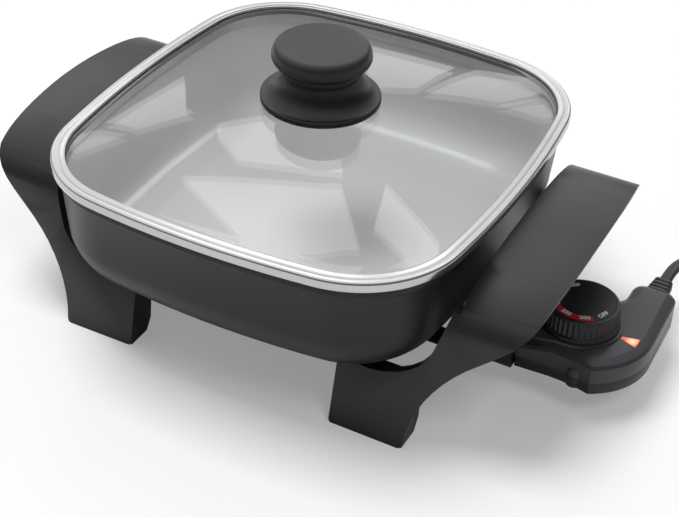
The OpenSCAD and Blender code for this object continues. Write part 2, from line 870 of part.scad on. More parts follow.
// the raised step that carries the dial, drawn out towards the nose
module plinth() {
    difference() {
        translate([0, 0, case_top - 6])
            linear_extrude(6 + plinth_h + 1) {
                translate([dial_x, 0])
                    circle(plinth_r);
                translate([shoulder_x + 1, -plinth_r])
                    square([dial_x - shoulder_x - 1, 2 * plinth_r]);
            }
        above_slope(plinth_h);
    }
}

// height of the case's top: a slope from the nose up to the dial, then level
function top_z(x) = min(case_top,
    case_top - (slope_x - x) / (slope_x - nose_x) * (case_top - nose_top + nose_drop));

// what lies above the case's top, moved down by drop
module above_slope(drop) {
    translate([0, 100, drop])
        rotate([90, 0, 0])
            linear_extrude(200)
                polygon([[nose_x - 1, top_z(nose_x - 1)], [slope_x, case_top],
                    [case_x + 1, case_top], [case_x + 1, case_top + 9],
                    [nose_x - 1, case_top + 9]]);
}

// a closed outline moved inwards by dist
function inset(points, dist) = [for (i = [0:len(points) - 1])
    let (before = points[(i + len(points) - 1) % len(points)], here = points[i],
        after = points[(i + 1) % len(points)],
        u = (here - before) / norm(here - before), v = (after - here) / norm(after - here),
        m = [-u.y - v.y, u.x + v.x])
    here + 2 * dist / (m * m) * m];

// the case's upper part, which runs on below the split, with an edge that runs on past its top
module bevelled_block() {
    over = 0.6;
    last = edge_steps[len(edge_steps) - 1];
    top = inset(case_points(), edge_in + over);
    loft(concat(
        [lift(case_points(), case_split - 2)],
        [for (step = edge_steps) let (points = inset(case_points(), step[0]))
            [for (i = [0:len(points) - 1]) [points[i].x, points[i].y, top_z(case_points()[i].x) - step[1]]]],
        [[for (i = [0:len(top) - 1])
            [top[i].x, top[i].y, top_z(case_points()[i].x) + over * last[1] / (edge_in - last[0])]],
            lift(top, case_top + 1)]));
}

// the lamp's window, a wedge that points at the dial
module lens_shape(grow, tall) {
    near = 20.7;
    far = 28.7;
    translate([dial_x, 0, 0])
        rotate(lens_turn)
            linear_extrude(tall)
                polygon([[near - grow, -0.8 - grow], [far + grow, -3.2 - grow],
                    [far + grow, 3.2 + grow], [near - grow, 0.8 + grow]]);
}

module indicator_lens() {
    color([0.95, 0.35, 0.12])
        placed()
            translate([0, 0, case_top - 0.9])
                lens_shape(-0.1, 1.1);
}

module indicator_lamp() {
    color([1, 0.55, 0.3])
        placed()
            translate([dial_x, 0, case_top - 4.6])
                rotate([0, 90, lens_turn]) {
                    translate([0, 0, 17])
                        cylinder(9, 2, 2);
                    translate([0, 0, 26])
                        sphere(2);
                }
}

module thermostat_block() {
    color([0.88, 0.84, 0.76])
        placed()
            difference() {
                translate([probe_root, -11, case_z + case_t])
                    cube([dial_x + 8 - probe_root, 22, 8.5]);
                translate([probe_root - 1, 0, pin_z])
                    rotate([0, 90, 0])
                        cylinder(9, probe_d / 2 + fit, probe_d / 2 + fit);
                translate([dial_x, 0, case_z + case_t + 4])
                    cylinder(10, shaft_r + 0.3, shaft_r + 0.3);
            }
}

module contact_leaves() {
    leaf_z = case_z + case_t + 8.5;
    color([0.75, 0.6, 0.3])
        placed()
            for (y = [-8, 8])
                translate([probe_root + 1, y - 2, leaf_z]) {
                    cube([dial_x - probe_root + 4, 4, 0.6]);
                    cube([5, 4, 2]);
                }
}

module sensing_probe() {
    color([0.72, 0.72, 0.74])
        placed()
            translate([probe_tip, 0, pin_z])
                rotate([0, 90, 0])
                    union() {
                        translate([0, 0, probe_d / 2])
                            cylinder(probe_root + 8 - probe_tip - probe_d / 2, probe_d / 2,
                                probe_d / 2);
                        translate([0, 0, probe_d / 2])
                            sphere(probe_d / 2);
                    }
}

module contact_sleeves() {
    color([0.78, 0.66, 0.38])
        placed()
            for (y = [-pin_y, pin_y])
                translate([nose_x + 0.3, y, pin_z])
                    rotate([0, 90, 0])
                        difference() {
                            cylinder(sleeve_l, sleeve_r, sleeve_r);
                            translate([0, 0, -1])
                                cylinder(sleeve_l + 2, pin_d / 2 + fit, pin_d / 2 + fit);
                        }
}

module case_screws() {
    color([0.7, 0.7, 0.72])
        placed()
            for (p = case_screw_places())
                translate([p.x, p.y, case_split + 4])
                    screw(lower_h + 4, 1.2, 2.4, 1.6);
}

// the relief's neck, which sits in a slot of the upper shell and stands on the lower one
module relief_seat(grow) {
    translate([relief_x, wing_y - 3.5, 0]) {
        translate([0, 0, relief_z])
            rotate([-90, 0, 0])
                cylinder(4.5, relief_neck_r + grow, relief_neck_r + grow);
        translate([-relief_neck_r - grow, 0, case_split - grow])
            cube([2 * (relief_neck_r + grow), 4.5, relief_z - case_split + grow]);
    }
}

// a flat block inside the shells, the neck, and a ribbed sleeve outside that tapers to the cord
module strain_relief() {
    pitch = 3.2;
    color([0.06, 0.06, 0.06])
        placed() {
            relief_seat(-fit);
            translate([relief_x, wing_y, relief_z])
                rotate([-90, 0, 0]) {
                    translate([0, 0, -10.5])
                        rounded_box([7.6, 8.2, 8.2], 1.5);
                    translate([0, 0, 0.1])
                        rounded_box([9, 7.4, pitch], 2);
                    translate([0, 0, 0.1 + pitch])
                        rounded_box([8, 6.6, relief_l - pitch - 0.1], 2);
                    for (i = [0:3])
                        translate([0, 0, 0.1 + pitch * i])
                            rounded_box([11 - 0.6 * i, 9 - 0.5 * i, 1.6], 2);
                }
        }
}

// ---------- dial ----------

function dial_outline(r, depth) = [for (i = [0:dial_ribs - 1], k = [0:3])
    let (a = 360 / dial_ribs * (i + k / 4), q = k < 2 ? r : r - depth)
    q * [cos(a), sin(a)]];

module dial_knob() {
    color([0.05, 0.05, 0.055])
        placed()
            translate([dial_x, 0, dial_z])
                difference() {
                    union() {
                        cylinder(1.6, dial_r + 1, dial_r + 0.6);
                        translate([0, 0, 1.6])
                            linear_extrude(dial_h - 3.1)
                                polygon(dial_outline(dial_r, 0.6));
                        translate([0, 0, dial_h - 1.5])
                            cylinder(1.5, dial_r - 0.4, dial_r - 1.2);
                    }
                    translate([0, 0, dial_h - 0.4])
                        cylinder(1, dial_r - 2.2, dial_r - 2.2);
                    translate([0, 0, -1])
                        cylinder(9, shaft_r + fit, shaft_r + fit);
                }
}

module dial_plate() {
    color([0.03, 0.03, 0.035])
        placed()
            translate([dial_x, 0, dial_z + dial_h - 0.4])
                cylinder(0.4, dial_r - 2.3, dial_r - 2.3);
}

module dial_shaft() {
    color([0.7, 0.7, 0.72])
        placed()
            translate([dial_x, 0, case_z + case_t + 4.3])
                cylinder(dial_z + 7.5 - case_z - case_t - 4.3, shaft_r, shaft_r);
}

// ---------- cord ----------

// rings round a route, the first one square to the way it starts
function cord_rings(route, start) = [for (i = [0:len(route) - 1])
    let (d = route[min(i + 1, len(route) - 1)] - route[max(i - 1, 0)],
        ahead = i == 0 ? start : d / norm(d),
        side = cross(ahead, [0, 0, 1]) / norm(cross(ahead, [0, 0, 1])),
        up = cross(side, ahead))
    [for (k = [0:cord_sides - 1]) let (a = 360 * k / cord_sides)
        route[i] + cord_w / 2 * cos(a) * side + cord_t / 2 * sin(a) * up]];

module cord() {
    color([0.05, 0.05, 0.05])
        placed() {
            loft(cord_rings(cord_points, [0, 1, 0]));
            loft(cord_rings(tail_points, [-1, 0, 0]));
        }
}

module cord_coil() {
    color([0.05, 0.05, 0.05])
        placed()
            translate(coil_centre)
                rotate_extrude()
                    translate([coil_mid_r, 0])
                        polygon([[-coil_wide / 2, 0], [coil_wide / 2, 0],
                            [coil_wide / 2, coil_layer], [cord_w / 2, coil_layer],
                            [cord_w / 2, 2 * coil_layer], [-cord_w / 2, 2 * coil_layer],
                            [-cord_w / 2, coil_layer], [-coil_wide / 2, coil_layer]]);
}

// a strap round the coil's section, clear of the tail
module cord_tie() {
    tie_t = 0.8;
    color([0.1, 0.1, 0.1])
        placed()
            translate(coil_centre + [coil_mid_r, 0, 0])
                rotate([90, 0, 0])
                    linear_extrude(6, center = true)
                        difference() {
                            translate([-coil_wide / 2 - tie_t - seat, 0])
                                square([coil_wide + 2 * tie_t + 2 * seat, 2 * coil_layer + tie_t + seat]);
                            translate([-coil_wide / 2 - seat, -1])
                                square([coil_wide + 2 * seat, 2 * coil_layer + 1 + seat]);
                        }
}

// a two-blade plug that lies on the table, its cord entering on the +X side
module plug_body() {
    color([0.05, 0.05, 0.05])
        placed()
            translate(plug_at)
                rotate([0, -90, 0])
                    union() {
                        cylinder(8, 4, 4.4);
                        translate([2.3, 0, 8])
                            hull() {
                                rounded_box([12, 14, 2], 3);
                                translate([0, 0, plug_l - 12])
                                    rounded_box([13.6, 25, 4], 4);
                            }
                    }
}

module plug_blades() {
    color([0.78, 0.66, 0.38])
        placed()
            for (y = [-blade_gap / 2, blade_gap / 2])
                translate([plug_at.x - plug_l - 16, plug_at.y + y - 0.75, plug_at.z + 2.3 - 3.2])
                    cube([16, 1.5, 6.4]);
}

pan();
heater_plate();
heating_element();
terminal_insulators();
terminal_pins();
pin_washers();
terminal_guard();
guard_screws();
left_handle();
right_handle();
handle_screws();
lid_glass();
lid_ring();
knob_base();
knob_cap();
knob_washer();
knob_screw();
control_lower_case();
control_upper_case();
indicator_lens();
indicator_lamp();
thermostat_block();
contact_leaves();
sensing_probe();
contact_sleeves();
case_screws();
strain_relief();
dial_knob();
dial_plate();
dial_shaft();
cord();
cord_coil();
cord_tie();
plug_body();
plug_blades();
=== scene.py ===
"""Looks of an electric skillet: a deep enamelled pan, its lift-off glass lid, two leg handles and
the heat control that plugs into the pan's socket.

The classes hold their sizes in millimetres about the pan's centre on the table top, with +Z up.
PLACE turns them into the frame's metres. Lamps, camera and table are in metres.
"""

import logging
import math
from dataclasses import dataclass, field
from enum import Enum
from typing import Callable, Sequence

import bmesh
import bpy
from mathutils import Matrix, Vector


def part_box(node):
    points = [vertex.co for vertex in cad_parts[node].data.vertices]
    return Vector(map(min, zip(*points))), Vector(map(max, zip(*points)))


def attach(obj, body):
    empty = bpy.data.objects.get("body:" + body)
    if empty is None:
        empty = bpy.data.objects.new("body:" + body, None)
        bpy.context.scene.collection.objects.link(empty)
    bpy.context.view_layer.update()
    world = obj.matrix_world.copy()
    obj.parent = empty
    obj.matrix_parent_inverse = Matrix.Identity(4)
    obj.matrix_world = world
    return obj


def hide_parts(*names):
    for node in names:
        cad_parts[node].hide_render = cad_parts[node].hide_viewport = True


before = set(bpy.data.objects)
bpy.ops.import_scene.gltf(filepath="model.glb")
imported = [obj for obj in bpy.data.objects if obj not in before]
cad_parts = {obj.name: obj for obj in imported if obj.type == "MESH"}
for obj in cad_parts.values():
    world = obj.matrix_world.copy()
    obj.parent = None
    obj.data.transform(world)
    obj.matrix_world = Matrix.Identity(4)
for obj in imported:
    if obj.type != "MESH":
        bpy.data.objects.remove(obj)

log = logging.getLogger("skillet")

Pair = tuple[float, float]
Triple = tuple[float, float, float]
Rgba = tuple[float, float, float, float]
Sockets = dict[int | str, object]
Edges = list[bmesh.types.BMEdge]

MM = 0.001
SHIFT_X = -14.7
PLACE = Matrix.Diagonal((MM, MM, MM, 1.0)) @ Matrix.Translation((SHIFT_X, 0.0, 0.0))
ORIGIN: Triple = (0.0, 0.0, 0.0)
EVEN: Triple = (1.0, 1.0, 1.0)
UP = Vector((0.0, 0.0, 1.0))
QUARTER = math.pi / 2
# How close points are merged: on a turning axis and along an outline in millimetres, and on a
# copy of a CAD mesh in metres.
AXIS_MERGE = 0.0005
OUTLINE_MERGE = 0.002
COPY_MERGE = 0.00001
COPY_SLIVER = 0.00002
# Two faces of a CAD mesh that meet at a smaller angle, in degrees, are one.
FLAT_ANGLE = 0.8


class Body(Enum):
    """The bodies that pieces ride on."""

    BASE = "base"
    LID = "lid"
    CONTROL = "control"
    DIAL = "dial"


# ---------- shader building ----------


def grey(value: float) -> Rgba:
    """A neutral colour."""
    return (value, value, value, 1.0)


class Link:
    """A node's output that can be used in sums, so that shader maths reads like maths."""

    def __init__(self, sheet: "NodeSheet", socket: bpy.types.NodeSocket | None) -> None:
        """Keeps the output socket and the sheet that it is on."""
        self.sheet, self.socket = sheet, socket

    def _sum(self, operation: str, first: "Link | float", second: "Link | float") -> "Link":
        """The result of one Math node."""
        return self.sheet.add("ShaderNodeMath", {"operation": operation}, {0: first, 1: second})

    def __add__(self, other: "Link | float") -> "Link":
        """self + other."""
        return self._sum("ADD", self, other)

    def __sub__(self, other: "Link | float") -> "Link":
        """self - other."""
        return self._sum("SUBTRACT", self, other)

    def __rsub__(self, other: "Link | float") -> "Link":
        """other - self."""
        return self._sum("SUBTRACT", other, self)

    def __mul__(self, other: "Link | float") -> "Link":
        """self * other."""
        return self._sum("MULTIPLY", self, other)

    def __or__(self, other: "Link | float") -> "Link":
        """The larger of the two."""
        return self._sum("MAXIMUM", self, other)

    __radd__, __rmul__, __ror__ = __add__, __mul__, __or__


class NodeSheet:
    """The node tree of one material or of the world."""

    def __init__(self, owner: bpy.types.Material | bpy.types.World) -> None:
        """Clears the owner's tree.

        Args:
            owner: the material or world.
        """
        owner.use_nodes = True
        self.tree = owner.node_tree
        self.tree.nodes.clear()

    def add(
        self,
        kind: str,
        settings: dict[str, object] | None = None,
        inputs: Sockets | None = None,
        output: int | str | None = 0,
    ) -> Link:
        """Adds a node, sets it up and fills its sockets.

        Args:
            kind: the node's type.
            settings: its properties, and "stops" for a ramp's places and colours.
            inputs: a value or a Link for each socket, by number or name.
            output: the output that is wanted, or None where the node has none.

        Returns:
            That output.
        """
        node = self.tree.nodes.new(kind)
        for name, value in (settings or {}).items():
            if name == "stops":
                for spot, (place, colour) in zip(node.color_ramp.elements, value):
                    spot.position = place
                    spot.color = colour
            else:
                setattr(node, name, value)
        for key, value in (inputs or {}).items():
            if isinstance(value, Link):
                self.tree.links.new(value.socket, node.inputs[key])
            else:
                node.inputs[key].default_value = value
        return Link(self, None if output is None else node.outputs[output])

    def finish(self, surface: Link, kind: str = "ShaderNodeOutputMaterial") -> None:
        """Joins a shader to the output, a material's or the world's."""
        self.add(kind, None, {"Surface": surface}, None)

    def vector(self, operation: str, *values: object, output: int | str = 0) -> Link:
        """The result of one Vector Math node."""
        kind = "ShaderNodeVectorMath"
        return self.add(kind, {"operation": operation}, dict(enumerate(values)), output)

    def place(self, stretch: Triple = EVEN, centre: Triple = ORIGIN) -> Link:
        """Object coordinates, centred and stretched.

        Args:
            stretch: the factor along each axis.
            centre: the point in metres that becomes the pattern's origin.

        Returns:
            The vector.
        """
        spot = self.add("ShaderNodeTexCoord", output="Object")
        moved = self.vector("SUBTRACT", spot, centre)
        return self.add("ShaderNodeMapping", {"vector_type": "POINT"}, {0: moved, 3: stretch})

    def noise(self, size: float, detail: float = 2.0, stretch: Triple = EVEN) -> Link:
        """Noise from 0 to 1 on Object coordinates.

        Args:
            size: how wide a patch is, in millimetres.
            detail: the number of finer layers.
            stretch: the factor along each axis.

        Returns:
            The noise.
        """
        where = self.place(stretch)
        sockets = {"Vector": where, "Scale": 1.0 / (size * MM), "Detail": detail, "Roughness": 0.55}
        return self.add("ShaderNodeTexNoise", {"noise_dimensions": "3D"}, sockets)

    def blend(self, first: object, second: object, share: object) -> Link:
        """Mixes two colours: the first at share 0, the second at share 1."""
        return self.add("ShaderNodeMix", {"data_type": "RGBA"}, {0: share, 6: first, 7: second}, 2)

    def ramp(self, value: Link, start: Pair, end: Pair) -> Link:
        """A grey that runs between two stops, each given by its place and its tone."""
        stops = [(place, grey(tone)) for place, tone in (start, end)]
        return self.add("ShaderNodeValToRGB", {"stops": stops}, {0: value})

    def bump(self, height: Link, depth: float) -> Link:
        """A normal from a height of 0 to 1 and a depth in millimetres."""
        sockets = {"Strength": 1.0, "Distance": depth * MM, "Height": height}
        return self.add("ShaderNodeBump", None, sockets)

    def principled(self, sockets: Sockets) -> Link:
        """A Principled shader."""
        return self.add("ShaderNodeBsdfPrincipled", None, sockets)

    def mixed(self, share: Link, first: Link, second: Link) -> Link:
        """Mixes two shaders: the first at share 0, the second at share 1."""
        return self.add("ShaderNodeMixShader", None, {0: share, 1: first, 2: second})

    def ray(self, kind: str) -> Link:
        """1 for a ray of a kind, such as Camera, and 0 for others."""
        return self.add("ShaderNodeLightPath", output=f"Is {kind} Ray")


# ---------- finishes ----------


@dataclass(frozen=True)
class Finish:
    """What every finish has: a name, a colour and a roughness.

    The sizes and depths of patterns in the kinds of finish are in millimetres.
    """

    name: str
    colour: Triple
    roughness: float = 0.4

    def tint(self, factor: float = 1.0, plus: float = 0.0) -> Rgba:
        """The colour, or a lighter or darker one, with full alpha."""
        return (*(min(1.0, c * factor + plus) for c in self.colour), 1.0)

    def material(self) -> bpy.types.Material:
        """The finish's material, built the first time that it is asked for.

        Returns:
            The material.
        """
        known = bpy.data.materials.get(self.name)
        if known is not None:
            return known
        made = bpy.data.materials.new(self.name)
        made.diffuse_color = self.tint()
        sheet = NodeSheet(made)
        sheet.finish(self.surface(sheet))
        return made

    def surface(self, sheet: NodeSheet) -> Link:
        """A plain shader, in whose place each kind of finish has its own."""
        return sheet.principled({"Base Color": self.tint(), "Roughness": self.roughness})


@dataclass(frozen=True)
class MouldedPlastic(Finish):
    """Plastic from an eroded mould: a fine satin grain, faint flow marks and handling haze."""

    grain: float = 0.45
    depth: float = 0.012
    haze: float = 0.08
    haze_size: float = 38.0
    flow_size: float = 16.0
    gloss: float = 0.38

    def surface(self, sheet: NodeSheet) -> Link:
        """Grain in the normal, haze in the roughness and flow marks in the colour.

        Args:
            sheet: where the nodes go.

        Returns:
            The shader.
        """
        fine = sheet.noise(self.grain, 3.0)
        broad = sheet.noise(self.haze_size, 3.0)
        flow = sheet.noise(self.flow_size, stretch=(1.0, 0.25, 1.0))
        return sheet.principled(
            {
                "Base Color": sheet.blend(self.tint(), self.tint(1.5, 0.004), flow * 0.5),
                "Roughness": self.roughness + (broad - 0.5) * self.haze + (fine - 0.5) * 0.06,
                "Specular IOR Level": self.gloss,
                "Normal": sheet.bump(fine, self.depth),
            }
        )


@dataclass(frozen=True)
class Enamel(Finish):
    """Stoved black coating: semi-gloss, with a slight orange peel and a thin clear top."""

    peel: float = 2.6
    peel_depth: float = 0.01
    dust: float = 0.5
    cloud: float = 45.0
    clear: float = 0.06

    def surface(self, sheet: NodeSheet) -> Link:
        """Orange peel in the normal, dust in the colour and a cloud in the roughness.

        Args:
            sheet: where the nodes go.

        Returns:
            The shader.
        """
        dust, cloud = sheet.noise(self.dust), sheet.noise(self.cloud)
        return sheet.principled(
            {
                "Base Color": sheet.blend(self.tint(), self.tint(1.4, 0.002), dust),
                "Roughness": self.roughness + (cloud - 0.5) * 0.08,
                "Specular IOR Level": 0.25,
                "Coat Weight": self.clear,
                "Coat Roughness": 0.18,
                "Normal": sheet.bump(sheet.noise(self.peel, 1.0), self.peel_depth),
            }
        )


@dataclass(frozen=True)
class CeramicCoat(Finish):
    """Sprayed ceramic lining: light grey, satin, with fine mineral specks."""

    speck: Rgba = (0.5, 0.51, 0.5, 1.0)
    speck_size: float = 0.7
    cloud: float = 55.0
    grain: float = 0.35
    depth: float = 0.001

    def surface(self, sheet: NodeSheet) -> Link:
        """Specks in the colour, a soft cloud in colour and roughness.

        Args:
            sheet: where the nodes go.

        Returns:
            The shader.
        """
        specks = sheet.ramp(sheet.noise(self.speck_size, 4.0), (0.52, 0.0), (0.72, 1.0))
        cloud = sheet.noise(self.cloud)
        base = sheet.blend(self.tint(), self.tint(0.93), cloud)
        return sheet.principled(
            {
                "Base Color": sheet.blend(base, self.speck, specks),
                "Roughness": self.roughness + (cloud - 0.5) * 0.07,
                "Coat Weight": 0.6,
                "Coat Roughness": 0.2,
                "Normal": sheet.bump(sheet.noise(self.grain), self.depth),
            }
        )


@dataclass(frozen=True)
class Metal(Finish):
    """Rolled, cast or drawn metal, its marks stretched along one axis."""

    marks: Triple = EVEN
    size: float = 1.2
    depth: float = 0.004
    cloud: float = 0.08
    cloud_size: float = 24.0

    def surface(self, sheet: NodeSheet) -> Link:
        """Marks in roughness and normal, slight tarnish in the colour.

        Args:
            sheet: where the nodes go.

        Returns:
            The shader.
        """
        marks = sheet.noise(self.size, 3.0, self.marks)
        cloud = sheet.noise(self.cloud_size, 3.0)
        return sheet.principled(
            {
                "Base Color": sheet.blend(self.tint(), self.tint(0.84), cloud),
                "Metallic": 1.0,
                "Roughness": self.roughness + (marks - 0.5) * 0.1 + (cloud - 0.5) * self.cloud,
                "Normal": sheet.bump(marks, self.depth),
            }
        )


@dataclass(frozen=True)
class FiredCeramic(Finish):
    """Unglazed steatite of bushes and blocks."""

    grain: float = 0.6
    depth: float = 0.03
    stain: float = 9.0

    def surface(self, sheet: NodeSheet) -> Link:
        """A grainy off-white with faint stains."""
        fine, stain = sheet.noise(self.grain, 3.0), sheet.noise(self.stain)
        return sheet.principled(
            {
                "Base Color": sheet.blend(self.tint(), self.tint(0.8), stain),
                "Roughness": self.roughness + (fine - 0.5) * 0.2,
                "Normal": sheet.bump(fine, self.depth),
            }
        )


@dataclass(frozen=True)
class ClearGlass(Finish):
    """Toughened lid glass: what is behind it shows through, with mirror-like gloss on top."""

    film: float = 0.02
    facing: float = 0.04
    smear: float = 60.0

    def surface(self, sheet: NodeSheet) -> Link:
        """A clear body and a gloss that grows towards grazing sight lines, with faint smears.

        Args:
            sheet: where the nodes go.

        Returns:
            The shader.
        """
        smear = sheet.noise(self.smear, 3.0, (1.0, 0.4, 1.0))
        body = sheet.add("ShaderNodeBsdfTransparent", None, {"Color": self.tint()})
        dull = self.roughness + smear * 0.02
        gloss = sheet.principled({"Base Color": grey(0.9), "Metallic": 1.0, "Roughness": dull})
        slant = sheet.add("ShaderNodeLayerWeight", None, {"Blend": 0.5}, "Facing")
        steep = slant * slant * slant * slant * slant
        share = self.facing + steep * (1.0 - self.facing) + smear * self.film
        return sheet.mixed(share, body, gloss)


@dataclass(frozen=True)
class PrintedInk(Finish):
    """Pad-printed ink, thin enough to show the plastic's grain."""

    grain: float = 0.5

    def surface(self, sheet: NodeSheet) -> Link:
        """Ink with slightly uneven cover."""
        ink = sheet.blend(self.tint(), self.tint(0.8), sheet.noise(self.grain))
        return sheet.principled({"Base Color": ink, "Roughness": self.roughness})


@dataclass(frozen=True)
class ZoneInk(Finish):
    """The dial's warm zone, bright at one end and fading to the dial's black."""

    centre: Triple = ORIGIN
    toward: Triple = (0.0, -1.0, 0.0)
    reach: float = 15.0
    black: Rgba = (0.012, 0.01, 0.011, 1.0)
    grain: float = 0.4

    def surface(self, sheet: NodeSheet) -> Link:
        """Red that fades with the distance along one direction from the dial's centre.

        Args:
            sheet: where the nodes go.

        Returns:
            The shader.
        """
        spot = sheet.place(centre=self.centre)
        along = sheet.vector("DOT_PRODUCT", spot, self.toward, output="Value")
        share = sheet.ramp(along * (0.5 / (self.reach * MM)) + 0.5, (0.12, 0.0), (0.86, 1.0))
        grain = sheet.noise(self.grain)
        return sheet.principled(
            {
                "Base Color": sheet.blend(self.black, self.tint(), share),
                "Roughness": self.roughness + (grain - 0.5) * 0.08,
            }
        )


@dataclass(frozen=True)
class LitWindow(Finish):
    """The lamp's window with the lamp on behind it: pale where the lamp is nearest."""

    centre: Triple = ORIGIN
    reach: float = 4.2
    core: Rgba = (1.0, 0.56, 0.36, 1.0)
    power: float = 0.85
    ripple: float = 0.8

    def surface(self, sheet: NodeSheet) -> Link:
        """Glow that falls off from the lamp.

        Args:
            sheet: where the nodes go.

        Returns:
            The shader.
        """
        away = sheet.vector("LENGTH", sheet.place(centre=self.centre), output="Value")
        near = sheet.ramp(away * (1.0 / (self.reach * MM)), (0.05, 1.0), (0.85, 0.0))
        ripple = sheet.noise(self.ripple, 1.0)
        glow = sheet.blend(self.tint(), self.core, near)
        return sheet.principled(
            {
                "Base Color": glow,
                "Roughness": self.roughness + (ripple - 0.5) * 0.1,
                "Emission Color": glow,
                "Emission Strength": self.power,
            }
        )


BLACK_ENAMEL = Enamel("stoved_black_enamel", (0.008, 0.008, 0.0085), 0.38)
LINING = CeramicCoat("grey_ceramic_lining", (0.47, 0.474, 0.471), 0.36)
CAST_ALUMINIUM = Metal("cast_aluminium", (0.56, 0.57, 0.58), 0.5, size=0.8, depth=0.03)
ELEMENT_STEEL = Metal("element_sheath_steel", (0.4, 0.39, 0.37), 0.42)
WHITE_CERAMIC = FiredCeramic("steatite_bush", (0.82, 0.8, 0.74), 0.6)
BLOCK_CERAMIC = FiredCeramic("thermostat_ceramic", (0.7, 0.64, 0.53), 0.62)
PLATED_STEEL = Metal("plated_steel", (0.66, 0.66, 0.67), 0.3)
BRASS = Metal("contact_brass", (0.72, 0.55, 0.25), 0.3)
BLADE_METAL = Metal("plated_blade", (0.7, 0.68, 0.62), 0.25)
RING_STEEL = Metal("polished_ring_steel", (0.56, 0.565, 0.57), 0.2, size=2.5, depth=0.002)
LID_GLASS = ClearGlass("toughened_glass", (0.966, 0.972, 0.968), 0.01)
HANDLE_BLACK = MouldedPlastic("handle_black", (0.009, 0.009, 0.0096), 0.38, gloss=0.42)
GUARD_BLACK = MouldedPlastic("guard_black", (0.009, 0.009, 0.0095), 0.42, gloss=0.3)
KNOB_BLACK = MouldedPlastic("knob_black", (0.006, 0.006, 0.0065), 0.36)
KNOB_CAP = MouldedPlastic(
    "knob_cap_charcoal", (0.012, 0.0123, 0.0135), 0.42, depth=0.02, gloss=0.45
)
SEAL_RUBBER = MouldedPlastic("seal_rubber", (0.02, 0.02, 0.02), 0.7, grain=0.8, gloss=0.3)
CASE_BLACK = MouldedPlastic("case_black", (0.012, 0.012, 0.0125), 0.36, gloss=0.3)
# The upper shell's grey is partly its own slate grey and partly a painted lightening: it is raised
# above the lower shell's black to stand in for the light and reflection that its top catches.
CASE_TOP_GREY_PAINTED_LIFT = MouldedPlastic("case_top_grey_painted_lift", (0.03, 0.031, 0.035), 0.36)
DIAL_BLACK = MouldedPlastic("dial_black", (0.01, 0.01, 0.0105), 0.38)
DIAL_FACE = MouldedPlastic("dial_face_black", (0.008, 0.0075, 0.008), 0.42, depth=0.006)
RELIEF_BLACK = MouldedPlastic("relief_black", (0.035, 0.035, 0.036), 0.5, gloss=0.4)
CORD_BLACK = MouldedPlastic("cord_sheath_black", (0.014, 0.014, 0.0145), 0.46, grain=0.9)
PLUG_BLACK = MouldedPlastic("plug_black", (0.015, 0.015, 0.0155), 0.48)
TIE_BLACK = MouldedPlastic("tie_black", (0.02, 0.02, 0.021), 0.55)
WHITE_INK = PrintedInk("white_ink", (0.9, 0.9, 0.9), 0.5)
LAMP_GLASS = LitWindow("neon_lamp", (1.0, 0.3, 0.08), 0.2, core=(1.0, 0.5, 0.25, 1.0), power=1.5)


# ---------- mesh building ----------


def bezier(a: Pair, b: Pair, c: Pair, d: Pair, steps: int) -> list[Pair]:
    """Points on a cubic curve, its ends among them.

    Args:
        a: start.
        b: first handle.
        c: second handle.
        d: end.
        steps: how many steps it is cut into.

    Returns:
        The points.
    """
    out = []
    for i in range(steps + 1):
        t = i / steps
        s = 1.0 - t
        out.append(
            tuple(
                s**3 * p + 3 * s * s * t * q + 3 * s * t * t * r + t**3 * w
                for p, q, r, w in zip(a, b, c, d)
            )
        )
    return out


def quarter_turn(steps: int) -> list[float]:
    """Angles from nothing to a right angle, in even steps."""
    return [QUARTER * i / steps for i in range(steps + 1)]


def carry(
    bm: bmesh.types.BMesh, loop: Edges, move: Callable[[Vector], Vector], material: int = 0
) -> Edges:
    """Extrudes a loop of edges and moves the new loop.

    Args:
        bm: the mesh.
        loop: the edges.
        move: gives each new point its place.
        material: the material of the new faces.

    Returns:
        The new loop's edges.
    """
    made = bmesh.ops.extrude_edge_only(bm, edges=loop)["geom"]
    fresh = {g for g in made if isinstance(g, bmesh.types.BMVert)}
    for vert in fresh:
        vert.co = move(vert.co)
    for face in {f for vert in fresh for f in vert.link_faces}:
        face.material_index = material
    return [g for g in made if isinstance(g, bmesh.types.BMEdge) and fresh.issuperset(g.verts)]


def face_outwards(bm: bmesh.types.BMesh) -> None:
    """Turns the faces of closed shells outwards."""
    bmesh.ops.recalc_face_normals(bm, faces=bm.faces)


def turned(profile: Sequence[Pair], foot: float, steps: int = 160) -> bmesh.types.BMesh:
    """A solid of revolution about the pan's upright axis.

    Args:
        profile: radius and height of each point, all the way round or from axis to axis.
        foot: the height at which the profile starts.
        steps: how many steps the turn is cut into.

    Returns:
        The mesh.
    """
    bm = bmesh.new()
    points = [bm.verts.new((r, 0.0, z)) for r, z in profile]
    pairs = list(zip(points, points[1:]))
    if profile[0][0] > 0.0:
        pairs.append((points[-1], points[0]))
    lines = [bm.edges.new(pair) for pair in pairs]
    bmesh.ops.spin(
        bm, geom=points + lines, cent=ORIGIN, axis=UP, angle=math.tau, steps=steps, use_merge=True
    )
    bmesh.ops.remove_doubles(bm, verts=bm.verts, dist=AXIS_MERGE)
    face_outwards(bm)
    bmesh.ops.translate(bm, vec=(0.0, 0.0, foot), verts=bm.verts)
    return bm


def in_scene(name: str, data: bpy.types.ID) -> bpy.types.Object:
    """Makes an object and links it to the scene.

    Args:
        name: the object's name.
        data: its mesh, curve, lamp or camera.

    Returns:
        The object.
    """
    obj = bpy.data.objects.new(name, data)
    bpy.context.scene.collection.objects.link(obj)
    return obj


@dataclass(frozen=True)
class Tag:
    """What a piece is called and rides on, its record slot and the CAD nodes that it replaces.

    Edges sharper than its crease, in degrees, stay sharp in the shading.
    """

    name: str
    body: Body
    slot: str
    nodes: tuple[str, ...] = ()
    crease: float = 30.0


